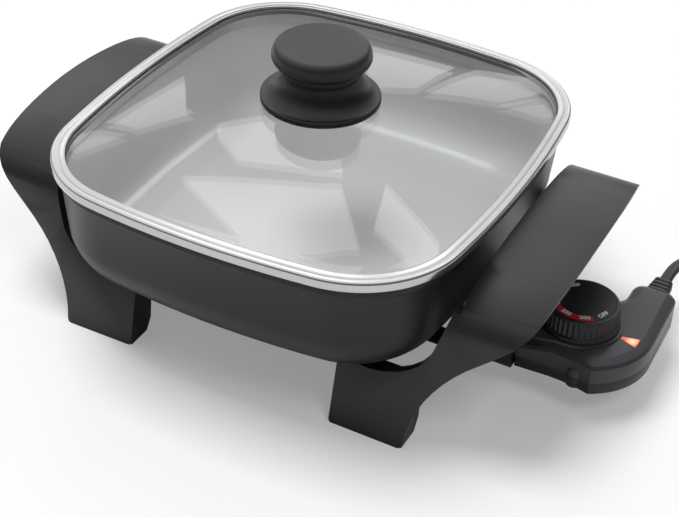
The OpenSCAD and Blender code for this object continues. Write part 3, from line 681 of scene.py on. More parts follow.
def piece(
    bm: bmesh.types.BMesh, tag: Tag, *finishes: Finish, in_metres: bool = False
) -> bpy.types.Object:
    """Turns a mesh into an object that rides on its body.

    Args:
        bm: the mesh, which is used up.
        tag: the piece's name, body, slot, nodes and crease.
        finishes: one finish for each material of the mesh.
        in_metres: True where the mesh is in the frame's metres already.

    Returns:
        The object.
    """
    if not in_metres:
        bmesh.ops.transform(bm, matrix=PLACE, verts=bm.verts)
    mesh = bpy.data.meshes.new(tag.name)
    bm.to_mesh(mesh)
    bm.free()
    mesh.shade_smooth()
    mesh.set_sharp_from_angle(angle=math.radians(tag.crease))
    for finish in finishes:
        mesh.materials.append(finish.material())
    obj = in_scene(tag.name, mesh)
    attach(obj, tag.body.value)
    if tag.nodes:
        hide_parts(*tag.nodes)
    log.info("%s on %s: %d faces", tag.name, tag.body.value, len(mesh.polygons))
    return obj


def rounded(tag: Tag, finish: Finish, width: float, corner: float = 32.0) -> bpy.types.Object:
    """Makes a piece from a copy of its CAD node's mesh, with the sharp edges rounded.

    Args:
        tag: the piece's name, body, slot, node and crease.
        finish: its finish.
        width: how wide the rounding is, in millimetres.
        corner: the least angle of an edge that is rounded, in degrees.

    Returns:
        The object.
    """
    bm = bmesh.new()
    bm.from_mesh(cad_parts[tag.nodes[0]].data)
    bmesh.ops.remove_doubles(bm, verts=bm.verts, dist=COPY_MERGE)
    bmesh.ops.dissolve_degenerate(bm, edges=bm.edges, dist=COPY_SLIVER)
    flat, least = math.radians(FLAT_ANGLE), math.radians(corner)
    bmesh.ops.dissolve_limit(bm, angle_limit=flat, verts=bm.verts, edges=bm.edges)
    bmesh.ops.bevel(
        bm,
        geom=[e for e in bm.edges if len(e.link_faces) == 2 and e.calc_face_angle(0.0) > least],
        offset=width * MM,
        offset_type="OFFSET",
        segments=2,
        profile=0.5,
        affect="EDGES",
        material=-1,
        clamp_overlap=True,
    )
    return piece(bm, tag, finish, in_metres=True)


def dress(finish: Finish, *nodes: str) -> None:
    """Gives CAD nodes that stay a finish.

    Args:
        finish: the finish.
        nodes: the nodes' names.
    """
    for node in nodes:
        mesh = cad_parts[node].data
        mesh.materials.clear()
        mesh.materials.append(finish.material())
        log.info("%s: %s", node, finish.name)


# ---------- pan and lid ----------


@dataclass
class RimOutline:
    """The pan's bulged square outline: four bowed sides joined by round corners."""

    width: float = 205.0
    depth: float = 220.0
    corner: float = 50.0
    side_bow: float = 550.0
    front_bow: float = 450.0
    steps: int = 22
    rounds: int = 12
    corner_at: Vector = field(init=False)
    side_turn: float = field(init=False)
    front_turn: float = field(init=False)

    def __post_init__(self) -> None:
        """Finds the corner's centre, whose arc meets both bowed sides without a kink."""
        x, y = self.width / 2 - self.corner, self.depth / 2 - self.corner
        side, front = self.side_bow - self.corner, self.front_bow - self.corner
        for _ in range(self.rounds):
            x, y = (
                self.width / 2 - self.side_bow + math.sqrt(side**2 - y**2),
                self.depth / 2 - self.front_bow + math.sqrt(front**2 - x**2),
            )
        self.corner_at = Vector((x, y))
        self.side_turn = math.asin(y / side)
        self.front_turn = math.asin(x / front)

    def loop(self, bm: bmesh.types.BMesh, inset: float, z: float) -> Edges:
        """Spins the outline's eight arcs into one closed loop.

        Args:
            bm: the mesh.
            inset: how far inside the rim the loop lies.
            z: its height.

        Returns:
            The loop's edges.
        """
        known = set(bm.edges)
        x, y = self.corner_at
        side = (self.width / 2 - self.side_bow, self.side_bow, self.side_turn)
        front = (self.depth / 2 - self.front_bow, self.front_bow, self.front_turn)
        corner_turn = QUARTER - self.side_turn - self.front_turn
        arcs = []
        for k in range(4):
            offset, radius, turn = front if k % 2 else side
            middle = Matrix.Rotation(k * QUARTER, 2) @ Vector((offset, 0.0))
            arcs.append((middle, radius, k * QUARTER - turn, 2 * turn))
            at = Vector((x if k in (0, 3) else -x, y if k < 2 else -y))
            arcs.append((at, self.corner, k * QUARTER + turn, corner_turn))
        for middle, radius, start, sweep in arcs:
            reach = radius - inset
            first = bm.verts.new(
                (middle.x + reach * math.cos(start), middle.y + reach * math.sin(start), z)
            )
            bmesh.ops.spin(
                bm, geom=[first], cent=(*middle, z), axis=UP, angle=sweep, steps=self.steps
            )
        fresh = dict.fromkeys(v for e in bm.edges if e not in known for v in e.verts)
        bmesh.ops.remove_doubles(bm, verts=list(fresh), dist=OUTLINE_MERGE)
        return [e for e in bm.edges if e not in known]

    def outward(self, spot: Vector) -> Vector:
        """The direction square to the outline.

        Args:
            spot: a point on any inset of it.

        Returns:
            A unit vector that points outwards.
        """
        x, y = abs(spot.x), abs(spot.y)
        angle = math.atan2(y - self.corner_at.y, x - self.corner_at.x)
        if angle < self.side_turn:
            away = Vector((x - self.width / 2 + self.side_bow, y, 0.0))
        elif angle > QUARTER - self.front_turn:
            away = Vector((x, y - self.depth / 2 + self.front_bow, 0.0))
        else:
            away = Vector((x - self.corner_at.x, y - self.corner_at.y, 0.0))
        away.normalize()
        return Vector((math.copysign(away.x, spot.x), math.copysign(away.y, spot.y), 0.0))

    def run(
        self, bm: bmesh.types.BMesh, loop: Edges, section: Sequence[Pair], material: int = 0
    ) -> Edges:
        """Carries a loop along a section.

        Args:
            bm: the mesh.
            loop: the loop at the section's first point.
            section: inset and height of each point.
            material: the material of the faces.

        Returns:
            The loop at the section's last point.
        """
        for (inset, _), (goal, z) in zip(section, section[1:]):

            def move(spot: Vector) -> Vector:
                """The point on the next loop."""
                flat = spot + self.outward(spot) * (inset - goal)
                return Vector((flat.x, flat.y, z))

            loop = carry(bm, loop, move, material)
        return loop


@dataclass
class Pan:
    """The cast bowl with its rim band, lining and the bosses that the handles screw to."""

    outline: RimOutline
    under_z: float = 36.5
    rim_z: float = 92.5
    wall: float = 3.0
    floor: float = 4.0
    draft: float = 3.5
    bottom: float = 26.0
    band: float = 4.5
    band_step: float = 1.2
    boss_radius: float = 6.0
    boss_foot: float = 28.0
    bosses: Pair = (63.5, 68.0)

    def outside(self) -> list[Pair]:
        """The section from the underside up the wall, over the band's step and the rim.

        Returns:
            Inset and height of each point.
        """
        curve = [
            (
                self.draft + self.bottom * (1 - math.sin(a)),
                self.under_z + self.bottom * (1 - math.cos(a)),
            )
            for a in quarter_turn(14)
        ]
        foot = self.rim_z - self.band
        return curve + [
            (self.band_step + 0.1, foot - 1.2), (self.band_step - 0.1, foot - 0.7),
            (self.band_step - 0.5, foot - 0.35), (0.25, foot - 0.05), (0.05, foot + 0.25),
            (0.0, foot + 0.7), (0.0, self.rim_z - 0.8), (0.25, self.rim_z - 0.25),
            (0.8, self.rim_z), (self.wall - 0.8, self.rim_z), (self.wall - 0.25, self.rim_z - 0.25),
        ]

    def inside(self) -> list[Pair]:
        """The lining's section from the rim down to the floor.

        Returns:
            Inset and height of each point.
        """
        radius = self.bottom - self.wall + 1
        low = self.under_z + self.floor
        curve = [
            (
                self.draft + self.wall - 1 + radius * (1 - math.cos(a)),
                low + radius * (1 - math.sin(a)),
            )
            for a in quarter_turn(16)
        ]
        return [(self.wall - 0.25, self.rim_z - 0.25), (self.wall, self.rim_z - 0.8)] + curve

    def build(self) -> None:
        """Makes the bowl in one closed skin, with its bosses."""
        bm = bmesh.new()
        section = self.outside()
        first = self.outline.loop(bm, *section[0])
        bmesh.ops.contextual_create(bm, geom=first)
        rim = self.outline.run(bm, first, section)
        floor_edge = self.outline.run(bm, rim, self.inside(), 1)
        low = self.under_z + self.floor
        for share in (0.9, 0.75, 0.5):
            floor_edge = carry(
                bm, floor_edge, lambda spot: Vector((spot.x * share, spot.y * share, low)), 1
            )
        for face in bmesh.ops.contextual_create(bm, geom=floor_edge)["faces"]:
            face.material_index = 1
        face_outwards(bm)
        top = self.under_z + 1.0
        for x in (-self.bosses[0], self.bosses[0]):
            for y in (-self.bosses[1], self.bosses[1]):
                bmesh.ops.create_cone(
                    bm,
                    cap_ends=True,
                    segments=32,
                    radius1=self.boss_radius,
                    radius2=self.boss_radius,
                    depth=top - self.boss_foot,
                    matrix=Matrix.Translation((x, y, (top + self.boss_foot) / 2)),
                )
        piece(bm, Tag("pan_bowl", Body.BASE, "pan_enamel", ("pan",)), BLACK_ENAMEL, LINING)


@dataclass
class Lid:
    """The domed glass and the rolled steel ring that grips its edge."""

    outline: RimOutline
    ring_z: float = 92.7
    ring_high: float = 5.2
    ring_out: float = 2.5
    ring_in: float = 4.2
    sheet: float = 0.8
    skirt: float = 3.8
    skirt_high: float = 3.5
    glass_edge_z: float = 97.0
    glass_thick: float = 3.4
    glass_edge: float = -1.6
    glass_flat: float = 5.0
    dome: float = 15.0
    hole: float = 3.2
    dome_steps: int = 22

    def build(self) -> None:
        """Makes both pieces."""
        self.build_ring()
        self.build_glass()

    def build_ring(self) -> None:
        """Runs the folded sheet's section round the rim: skirt, lip, side, top with its bead."""
        top = self.ring_z + self.ring_high
        out, inn, sheet = self.ring_out, self.ring_in, self.sheet
        section = [
            (self.skirt + sheet, self.ring_z - self.skirt_high),
            (self.skirt, self.ring_z - self.skirt_high), (self.skirt, self.ring_z),
            (-out + 0.9, self.ring_z), (-out + 0.35, self.ring_z + 0.15),
            (-out + 0.05, self.ring_z + 0.6), (-out, self.ring_z + 1.1), (-out, top - 1.5),
            (-out + 0.12, top - 0.95), (-out + 0.45, top - 0.4), (-out + 0.95, top - 0.08),
            (-out + 1.5, top), (0.55, top), (0.8, top - 0.06), (1.05, top - 0.3), (1.35, top - 0.3),
            (1.6, top - 0.06), (1.9, top + 0.02), (inn - 1.4, top + 0.04), (inn - 1.0, top + 0.2),
            (inn - 0.6, top + 0.25), (inn - 0.2, top + 0.15), (inn, top - 0.2), (inn, top - sheet),
            (-out + sheet, top - sheet), (-out + sheet, self.ring_z + sheet),
            (self.skirt + sheet, self.ring_z + sheet),
        ]
        bm = bmesh.new()
        first = self.outline.loop(bm, *section[0])
        last = self.outline.run(bm, first, section)
        bmesh.ops.bridge_loops(bm, edges=first + last)
        face_outwards(bm)
        piece(bm, Tag("lid_band", Body.LID, "ring_steel", ("lid_ring",), 50.0), RING_STEEL)

    def build_glass(self) -> None:
        """Runs the top face from the edge up to the centre hole, then gives it its thickness."""
        bm = bmesh.new()
        edge = self.outline.loop(bm, self.glass_edge, self.glass_edge_z)
        section = [(self.glass_edge, self.glass_edge_z), (self.glass_flat, self.glass_edge_z)]
        loop = self.outline.run(bm, edge, section)
        shares = [1 - i / self.dome_steps for i in range(self.dome_steps + 1)]
        for now, then in zip(shares, shares[1:]):

            def move(spot: Vector) -> Vector:
                """Moves a point further up the same line to the centre.

                Args:
                    spot: the point.

                Returns:
                    Its new place.
                """
                flat = Vector((spot.x, spot.y, 0.0))
                reach = (flat.length - self.hole * (1 - now)) / now
                near = flat.normalized() * (self.hole * (1 - then) + reach * then)
                return Vector((near.x, near.y, self.glass_edge_z + self.dome * (1 - then**2)))

            loop = carry(bm, loop, move)
        lower = bmesh.ops.extrude_face_region(bm, geom=bm.faces[:])["geom"]
        bmesh.ops.translate(
            bm,
            vec=(0.0, 0.0, -self.glass_thick),
            verts=[g for g in lower if isinstance(g, bmesh.types.BMVert)],
        )
        face_outwards(bm)
        piece(bm, Tag("lid_pane", Body.LID, "lid_glass", ("lid_glass",), 40.0), LID_GLASS)


@dataclass
class Knob:
    """The mushroom knob: a flared foot that rests on the glass and a cap over it."""

    foot: float = 28.5
    cap: float = 23.5
    neck: float = 19.0
    high: float = 28.7
    split: float = 14.8
    rim: float = 2.8
    bore: float = 2.55

    def build(self) -> None:
        """Turns both halves and dresses what holds them."""
        base_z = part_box("knob_base")[0].z / MM
        foot, cap, neck, split, high = self.foot, self.cap, self.neck, self.split, self.high
        flare = bezier(
            (foot - 1.2, self.rim), (foot - 5.0, 4.2), (neck + 1.0, 7.5), (neck, split - 0.5), 18
        )
        lower = [
            (self.bore, 3.0), (foot - 3.0, 1.6), (foot - 3.0, 0.0), (foot - 0.4, 0.0),
            (foot - 0.1, 0.15), (foot, 0.5), (foot, self.rim - 0.8), (foot - 0.1, self.rim - 0.3),
            (foot - 0.45, self.rim),
            *flare,
            (neck - 0.35, split),
            (self.bore, split),
        ]
        tag = Tag("knob_foot", Body.LID, "knob_plastic", ("knob_base",), 32.0)
        piece(turned(lower, base_z), tag, KNOB_BLACK)
        widest, crown = (cap, high - 6.0), (cap - 3.4, high - 0.3)
        under = bezier(
            (neck + 0.2, split + 3.0), (cap - 2.0, split + 3.8), (cap, split + 6.0), widest, 10
        )
        over = bezier(widest, (cap, high - 3.0), (cap - 1.2, high - 0.6), crown, 10)
        upper = [
            (0.0, split + 8.0), (self.bore, split + 8.0), (self.bore, split), (neck - 0.5, split),
            (neck - 0.1, split + 0.35), (neck, split + 0.8), (neck, split + 2.7),
            *under,
            *over[1:],
            (cap - 8.0, high - 0.12),
            (0.0, high),
        ]
        tag = Tag("knob_top", Body.LID, "knob_cap_plastic", ("knob_cap",), 40.0)
        piece(turned(upper, base_z), tag, KNOB_CAP)
        dress(SEAL_RUBBER, "knob_washer")
        dress(PLATED_STEEL, "knob_screw")


# ---------- handles, heater and socket ----------


@dataclass
class Handles:
    """The two leg handles, each one moulding, and their screws."""

    rounding: float = 0.7

    def build(self) -> None:
        """Rounds both mouldings' edges and dresses the screws."""
        for side in ("left", "right"):
            node = (f"{side}_handle",)
            tag = Tag(f"handle_{side}", Body.BASE, "handle_plastic", node, 28.0)
            rounded(tag, HANDLE_BLACK, self.rounding)
        dress(PLATED_STEEL, "handle_screws")


@dataclass
class Heater:
    """What lies under the pan: cast plate, element, insulators, pins and the socket's guard."""

    rounding: float = 0.5

    def build(self) -> None:
        """Rounds the guard's edges and dresses the rest."""
        guard = Tag("socket_guard", Body.BASE, "guard_plastic", ("terminal_guard",))
        rounded(guard, GUARD_BLACK, self.rounding)
        dress(CAST_ALUMINIUM, "heater_plate")
        dress(ELEMENT_STEEL, "heating_element")
        dress(WHITE_CERAMIC, "terminal_insulators", "pin_washers")
        dress(PLATED_STEEL, "terminal_pins", "guard_screws")


# ---------- heat control ----------


@dataclass
class HeatControl:
    """The case's two shells, the lamp's window and what is inside."""

    lower_rounding: float = 0.5
    upper_rounding: float = 0.3
    relief_rounding: float = 0.35
    lamp: Triple = (166.0, -1.6, 34.0)

    def build(self) -> None:
        """Rounds the shells' and the relief's edges and dresses the rest."""
        body = Body.CONTROL
        lower = Tag("case_lower", body, "case_plastic", ("control_lower_case",))
        upper = Tag("case_upper", body, "case_top_plastic", ("control_upper_case",), 20.0)
        relief = Tag("relief_sleeve", body, "relief_plastic", ("strain_relief",))
        rounded(lower, CASE_BLACK, self.lower_rounding)
        rounded(upper, CASE_TOP_GREY_PAINTED_LIFT, self.upper_rounding, corner=22.0)
        rounded(relief, RELIEF_BLACK, self.relief_rounding)
        middle = tuple(PLACE @ Vector(self.lamp))
        dress(LitWindow("lit_window", (0.85, 0.09, 0.03), 0.3, centre=middle), "indicator_lens")
        dress(LAMP_GLASS, "indicator_lamp")
        dress(BLOCK_CERAMIC, "thermostat_block")
        dress(BRASS, "contact_leaves", "contact_sleeves")
        dress(PLATED_STEEL, "sensing_probe", "case_screws")


@dataclass
class Dial:
    """The ribbed dial with its printed numbers and warm zone."""

    centre: Triple = (140.0, 0.0, 35.4)
    radius: float = 17.5
    high: float = 11.0
    ribs: int = 44
    rib_depth: float = 0.55
    rib_steep: float = 1.6
    per_rib: int = 6
    face_radius: float = 15.3
    text_radius: float = 12.6
    text_high: float = 2.5
    labels: tuple[tuple[str, float], ...] = (
        ("OFF", -24.0), ("200", -67.0), ("250", -108.0), ("300", -149.0), ("350", 170.0),
        ("400", 129.0),
    )
    letter_scale: float = 1.35
    letter_weight: float = 0.08
    ink_lift: float = 0.03
    shaft: float = 3.1
    zone: Pair = (-50.0, -232.0)
    zone_width: Pair = (11.4, 15.0)
    zone_way: float = -80.0

    def build(self) -> None:
        """Makes the ribbed body, the zone and the numbers."""
        self.build_body()
        self.build_zone()
        self.build_numbers()
        dress(DIAL_FACE, "dial_plate")
        dress(PLATED_STEEL, "dial_shaft")

    def build_body(self) -> None:
        """Carries a circle round the flange, up the ribs, over the top and to the face's recess.

        Each point of the section has a radius, a height and its share of the ribs' depth.
        """
        bm = bmesh.new()
        bmesh.ops.create_circle(bm, segments=self.ribs * self.per_rib, radius=self.shaft)
        first = loop = bm.edges[:]
        top, r = self.high, self.radius
        section = [
            (r + 0.7, 0.0, 0.0), (r + 1.0, 0.3, 0.0), (r + 0.8, 1.3, 0.0), (r + 0.4, 1.65, 0.0),
            (r + 0.05, 1.75, 0.6), (r, 2.2, 1.0), (r - 0.1, top - 2.2, 1.0),
            (r - 0.3, top - 1.5, 0.6), (r - 0.4, top - 1.1, 0.0), (r - 0.45, top - 0.55, 0.0),
            (r - 0.75, top - 0.12, 0.0), (r - 1.2, top, 0.0), (self.face_radius + 0.15, top, 0.0),
            (self.face_radius, top - 0.15, 0.0), (self.face_radius, top - 0.4, 0.0),
            (self.shaft, top - 0.4, 0.0),
        ]
        for radius, z, share in section:

            def move(spot: Vector) -> Vector:
                """Moves a point to the next loop, pulled in between two ribs.

                Args:
                    spot: the point.

                Returns:
                    Its new place.
                """
                angle = math.atan2(spot.y, spot.x)
                wave = 0.5 - 0.5 * math.cos(angle * self.ribs)
                reach = radius - share * self.rib_depth * min(1.0, self.rib_steep * wave)
                return Vector((reach * math.cos(angle), reach * math.sin(angle), z))

            loop = carry(bm, loop, move)
        bmesh.ops.bridge_loops(bm, edges=first + loop)
        face_outwards(bm)
        bmesh.ops.translate(bm, vec=self.centre, verts=bm.verts)
        piece(bm, Tag("dial_body", Body.DIAL, "dial_plastic", ("dial_knob",), 38.0), DIAL_BLACK)

    def build_zone(self) -> None:
        """Spins a short line into the arc of ink beneath the numbers."""
        bm = bmesh.new()
        start, end = (math.radians(a) for a in self.zone)
        z = self.high + self.ink_lift
        ends = [
            bm.verts.new((r * math.cos(start), r * math.sin(start), z)) for r in self.zone_width
        ]
        line = bm.edges.new(ends)
        arc = end - start
        bmesh.ops.spin(bm, geom=[*ends, line], cent=ORIGIN, axis=UP, angle=arc, steps=64)
        bmesh.ops.recalc_face_normals(bm, faces=bm.faces)
        if sum(face.normal.z for face in bm.faces) < 0:
            bmesh.ops.reverse_faces(bm, faces=bm.faces)
        bmesh.ops.translate(bm, vec=self.centre, verts=bm.verts)
        middle = tuple(PLACE @ Vector(self.centre))
        turn = math.radians(self.zone_way)
        toward = (math.cos(turn), math.sin(turn), 0.0)
        ink = ZoneInk("warm_zone_ink", (0.42, 0.008, 0.014), 0.42, centre=middle, toward=toward)
        piece(bm, Tag("dial_zone", Body.DIAL, "dial_print"), ink)

    def build_numbers(self) -> None:
        """Sets each label along the rim, its top towards the centre, as one mesh."""
        bm = bmesh.new()
        for words, angle in self.labels:
            curve = bpy.data.curves.new("label", "FONT")
            curve.body = words
            curve.size = self.text_high * self.letter_scale
            curve.align_x = "CENTER"
            curve.align_y = "CENTER"
            curve.resolution_u = 3
            curve.offset = self.letter_weight
            maker = in_scene("label", curve)
            flat = bpy.data.meshes.new_from_object(maker)
            turn = math.radians(angle)
            reach = self.text_radius
            spot = Vector(
                (reach * math.cos(turn), reach * math.sin(turn), self.high + 2 * self.ink_lift)
            )
            placing = Matrix.Translation(Vector(self.centre) + spot)
            flat.transform(placing @ Matrix.Rotation(turn + QUARTER, 4, "Z"))
            bm.from_mesh(flat)
            bpy.data.objects.remove(maker)
            bpy.data.meshes.remove(flat)
        piece(bm, Tag("dial_numbers", Body.DIAL, "dial_print"), WHITE_INK)


# ---------- cord ----------


@dataclass
class Lead:
    """The flat two-core lead: out of the relief, down to the table, into a coil and the plug."""

    width: float = 6.0
    thick: float = 3.4
    waist: float = 0.72
    sides: int = 24
    route: tuple[Triple, ...] = (
        (162.5, 57.5, 27.2), (162.5, 63.0, 27.3), (162.7, 69.4, 27.2), (163.5, 77.0, 26.5),
        (165.3, 85.0, 24.7), (168.3, 93.0, 21.8), (172.5, 101.0, 18.0), (177.9, 109.0, 14.0),
        (184.7, 117.0, 10.2), (192.9, 125.2, 6.8), (202.1, 133.1, 4.1), (212.3, 140.3, 2.4),
        (223.0, 146.0, 1.8), (235.0, 150.0, 1.8),
    )
    coil: Triple = (250.0, 187.0, 1.8)
    turns: tuple[float, ...] = (37.0, 31.0)
    top_turn: float = 34.0
    layer: float = 3.6
    step: float = 5.0
    change_over: float = 50.0
    spacing: float = 3.0
    groove: float = 0.28
    bulge: float = 0.12
    tail: tuple[Triple, ...] = (
        (232.0, 221.3, 5.4), (225.0, 221.5, 5.1), (218.0, 222.0, 4.0), (211.0, 222.7, 2.8),
        (205.0, 223.3, 2.5), (199.0, 223.8, 3.3), (193.5, 224.0, 4.5), (189.0, 224.0, 4.5),
    )

    def coil_points(self) -> list[Vector]:
        """The coil's middle line: two turns side by side, then half a turn on top of them.

        Returns:
            The points, from the coil's near side round to its far side.
        """
        out = []
        radii = (*self.turns, self.top_turn)
        total = 360.0 * len(self.turns) + 180.0
        for i in range(round(total / self.step) + 1):
            angle = i * self.step
            lap = int(angle // 360.0)
            into = min(1.0, (angle % 360.0) / self.change_over)
            ease = into * into * (3 - 2 * into)
            before, now = radii[max(lap - 1, 0)], radii[lap]
            radius = before + (now - before) * ease
            high = self.layer * (ease if lap >= len(self.turns) else 0.0)
            turn = math.radians(angle - 90.0)
            spot = Vector((radius * math.cos(turn), radius * math.sin(turn), high))
            out.append(Vector(self.coil) + spot)
        return out

    def line(self) -> list[Vector]:
        """The lead's whole middle line.

        Returns:
            Closely spaced points, in the classes' millimetres.
        """
        route, tail = ([Vector(p) for p in part] for part in (self.route, self.tail))
        knots = route + self.coil_points() + tail
        out = []
        for i in range(len(knots) - 1):
            a = knots[max(i - 1, 0)]
            b, c = knots[i], knots[i + 1]
            d = knots[min(i + 2, len(knots) - 1)]
            cuts = max(1, round((c - b).length / self.spacing))
            for k in range(cuts):
                t = k / cuts
                out.append(
                    0.5
                    * (
                        2 * b
                        + (c - a) * t
                        + (2 * a - 5 * b + 4 * c - d) * t**2
                        + (3 * b - a - 3 * c + d) * t**3
                    )
                )
        out.append(knots[-1])
        return out

    def build(self, plug: bpy.types.Object) -> None:
        """Args:
            plug: the plug's piece, which is not used.
        """
        line = self.line()
        bm = bmesh.new()
        bmesh.ops.create_circle(bm, cap_ends=True, segments=self.sides, radius=1.0)
        for vert in bm.verts:
            across = vert.co.x
            share = 1.0 - (1.0 - self.waist) * math.exp(-((across / self.groove) ** 2))
            vert.co.x = across * self.width / 2
            vert.co.y *= self.thick / 2 * share * (1.0 + self.bulge * abs(across))
        before = self.frame_at(line, 0)
        bmesh.ops.transform(bm, matrix=before, verts=bm.verts)
        loop = bm.edges[:]
        for i in range(1, len(line)):
            now = self.frame_at(line, i)
            move = now @ before.inverted()
            loop = carry(bm, loop, lambda spot: move @ spot)
            before = now
        bmesh.ops.contextual_create(bm, geom=loop)
        face_outwards(bm)
        tag = Tag("lead", Body.CONTROL, "cord_sheath", ("cord", "cord_coil"), 60.0)
        lead = piece(bm, tag, CORD_BLACK)
        path = [tuple(PLACE @ spot) for spot in line]
        length = sum((b - a).length for a, b in zip(line, line[1:])) * MM
        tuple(path[0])
        log.info("lead: %.3f m", length)

    def frame_at(self, line: list[Vector], i: int) -> Matrix:
        """Where the section lies at a point of the line, its broad side level.

        Args:
            line: the middle line.
            i: the point's number.

        Returns:
            The section's placing.
        """
        ahead = (line[min(i + 1, len(line) - 1)] - line[max(i - 1, 0)]).normalized()
        side = ahead.cross(UP).normalized()
        over = side.cross(ahead)
        turn = Matrix((side, over, ahead)).transposed().to_4x4()
        return Matrix.Translation(line[i]) @ turn


@dataclass
class Plug:
    """The two-blade plug and the tie round the coil."""

    rounding: float = 0.6

    def build(self) -> bpy.types.Object:
        """Rounds the plug's edges and dresses blades and tie.

        Returns:
            The plug's piece.
        """
        dress(BLADE_METAL, "plug_blades")
        dress(TIE_BLACK, "cord_tie")
        tag = Tag("plug_grip", Body.CONTROL, "cord_sheath", ("plug_body",), 32.0)
        return rounded(tag, PLUG_BLACK, self.rounding)


# ---------- camera and studio ----------


@dataclass(frozen=True)
class Viewpoint:
    """Where the camera stands and how it is turned, in the frame's millimetres and radians."""

    spot: Triple = (275.213, -557.685, 476.211)
    yaw: float = 0.459916855
    pitch: float = 0.628907684
    roll: float = 0.0452000165
    lens: float = 81.85
    sensor: float = 36.0
    clip: Pair = (0.01, 30.0)

    def build(self) -> None:
        """Sets the camera up, from the way it looks back, its level line and its roll."""
        back = Vector(
            (
                math.sin(self.yaw) * math.cos(self.pitch),
                -math.cos(self.yaw) * math.cos(self.pitch),
                math.sin(self.pitch),
            )
        )
        level = Vector((math.cos(self.yaw), math.sin(self.yaw), 0.0))
        above = back.cross(level)
        right = level * math.cos(self.roll) + above * math.sin(self.roll)
        up = above * math.cos(self.roll) - level * math.sin(self.roll)
        data = bpy.data.cameras.new("camera")
        data.sensor_fit = "HORIZONTAL"
        data.sensor_width = self.sensor
        data.lens = self.lens
        data.clip_start, data.clip_end = self.clip
        camera = in_scene("camera", data)
        turn = Matrix((right, up, back)).transposed().to_4x4()
        camera.matrix_world = Matrix.Translation(Vector(self.spot) * MM) @ turn
        bpy.context.scene.camera = camera


@dataclass(frozen=True)
class Softbox:
    """A flat lamp that faces a point, in metres and watts.

    It can be kept out of reflections, and its light can be kept to one piece.
    """

    name: str
    spot: Triple
    size: Pair
    power: float
    mirrored: bool = True
    lights_only: str = ""
    aim: Triple = (0.0, 0.0, 0.05)

    def build(self) -> None:
        """Hangs the lamp, turned to its aim."""
        data = bpy.data.lights.new(self.name, "AREA")
        data.shape = "RECTANGLE"
        data.size, data.size_y = self.size
        data.energy = self.power
        lamp = in_scene(self.name, data)
        away = Vector(self.aim) - Vector(self.spot)
        turn = away.to_track_quat("-Z", "Y").to_matrix().to_4x4()
        lamp.matrix_world = Matrix.Translation(self.spot) @ turn
        lamp.visible_glossy = self.mirrored
        if self.lights_only:
            lit = bpy.data.collections.new(f"{self.name}_lights")
            lit.objects.link(bpy.data.objects[self.lights_only])
            lamp.light_linking.receiver_collection = lit


@dataclass(frozen=True)
class Pane:
    """One pane of the room's windows, as gloss and glass mirror it.

    Its place is given by how far it is turned from +Y towards +X and how high it stands, in
    degrees. A glow of 1 looks white.
    """

    turn: float
    rise: float
    size: Pair
    glow: float = 1.1
    away: float = 2.0
    aim: Triple = (0.0, 0.0, 0.1)

    def softbox(self, number: int) -> Softbox:
        """The pane as a lamp.

        Args:
            number: the pane's number, for its name.

        Returns:
            A softbox of the pane's size and glow.
        """
        turn, rise = math.radians(self.turn), math.radians(self.rise)
        level = self.away * math.cos(rise)
        spot = (level * math.sin(turn), level * math.cos(turn), self.away * math.sin(rise))
        power = self.glow * math.pi * self.size[0] * self.size[1]
        return Softbox(f"pane_{number}", spot, self.size, power, aim=self.aim)


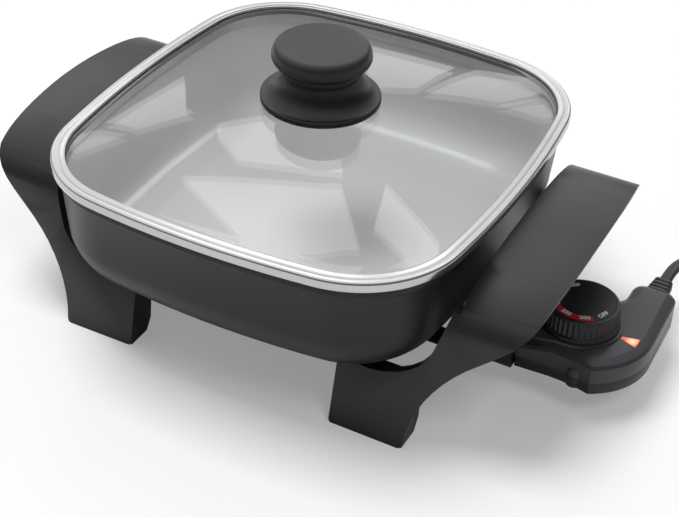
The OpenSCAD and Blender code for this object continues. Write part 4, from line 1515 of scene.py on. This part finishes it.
@dataclass
class Studio:
    """The pale table, the white surroundings, the lamps and the windows.

    The two glints light the pan alone, and give the light lines on its lining's bend.
    """

    table: float = 4.0
    table_tone: float = 0.96
    table_cloud: float = 400.0
    lift: float = 0.25
    fade: tuple[Pair, Pair] = ((0.2, 0.0), (0.55, 1.0))
    fill: float = 0.18
    sky: tuple[Pair, Pair] = ((0.3, 0.16), (0.8, 1.25))
    bright_way: Triple = (-0.3, 0.2, 0.93)
    lamps: tuple[Softbox, ...] = (
        Softbox("key", (-1.0, -0.1, 3.8), (1.8, 1.8), 110.0, mirrored=False),
        Softbox("side", (1.55, -1.15, 2.8), (1.0, 1.0), 18.0, mirrored=False),
        Softbox("left_glint", (0.5, 1.44, 1.3), (0.32, 0.32), 3.4, lights_only="pan_bowl"),
        Softbox("back_glint", (-0.7, 0.15, 1.9), (0.32, 0.32), 3.4, lights_only="pan_bowl"),
    )
    panes: tuple[Pane, ...] = (
        Pane(-47.0, 23.0, (0.22, 0.5)),
        Pane(-57.0, 25.0, (0.3, 0.4)),
        Pane(-20.0, 20.0, (0.2, 0.6)),
        Pane(-10.0, 21.0, (0.34, 0.65)),
        Pane(2.0, 24.0, (0.34, 0.6)),
        Pane(-34.0, 45.0, (0.42, 0.4), glow=1.7),
        Pane(-40.0, 60.0, (0.6, 0.45), glow=1.6),
        Pane(-1.0, 54.0, (0.45, 0.42), glow=1.7),
    )

    def build(self) -> None:
        """Lays the table, then sets the surroundings, the lamps and the windows."""
        self.build_table()
        self.build_surroundings()
        for lamp in self.lamps:
            lamp.build()
        for number, pane in enumerate(self.panes):
            pane.softbox(number).build()

    def build_table(self) -> None:
        """Lays a pale sheet that keeps the shadow and, to the camera, fades to white far away."""
        bm = bmesh.new()
        bmesh.ops.create_grid(bm, x_segments=2, y_segments=2, size=self.table)
        mesh = bpy.data.meshes.new("table_top")
        bm.to_mesh(mesh)
        bm.free()
        in_scene("table_top", mesh)
        made = bpy.data.materials.new("pale_table")
        sheet = NodeSheet(made)
        cloud = sheet.noise(self.table_cloud, 1.0)
        tone = self.table_tone
        plain = sheet.principled(
            {
                "Base Color": sheet.blend(grey(tone), grey(tone * 1.03), cloud),
                "Roughness": 0.6,
                "Specular IOR Level": 0.2,
            }
        )
        white = sheet.add("ShaderNodeEmission", None, {"Color": grey(1.0), "Strength": 1.0})
        away = sheet.vector("LENGTH", sheet.place(), output="Value") * (1.0 / self.table)
        far = sheet.ramp(away, *self.fade)
        sheet.finish(sheet.mixed(sheet.ray("Camera") * (far | self.lift), plain, white))
        mesh.materials.append(made)

    def build_surroundings(self) -> None:
        """White to the camera, a gradient to gloss and glass, and dimmer as a light."""
        world = bpy.data.worlds.new("surroundings")
        bpy.context.scene.world = world
        sheet = NodeSheet(world)
        looked_at = sheet.ray("Camera")
        seen = looked_at | sheet.ray("Glossy") | sheet.ray("Transmission")
        kind = "ShaderNodeBackground"
        light = sheet.add(kind, None, {"Color": grey(1.0), "Strength": self.fill})
        toward = sheet.add("ShaderNodeTexCoord", output="Generated")
        high = sheet.vector("DOT_PRODUCT", toward, self.bright_way, output="Value")
        tone = sheet.ramp(high, *self.sky)
        white = sheet.add(kind, None, {"Color": tone | looked_at, "Strength": 1.0})
        sheet.finish(sheet.mixed(seen, light, white), "ShaderNodeOutputWorld")


def main() -> None:
    """Builds the object's sub-assemblies and the studio, and notes the sizes."""
    logging.basicConfig(level=logging.INFO, format="%(name)s: %(message)s")
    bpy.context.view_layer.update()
    bpy.context.scene.view_settings.view_transform = "Standard"
    Viewpoint().build()
    Lead().build(Plug().build())
    outline = RimOutline()
    Pan(outline).build()
    Lid(outline).build()
    Knob().build()
    Handles().build()
    Heater().build()
    HeatControl().build()
    Dial().build()
    Studio().build()


if __name__ == "__main__":
    main()
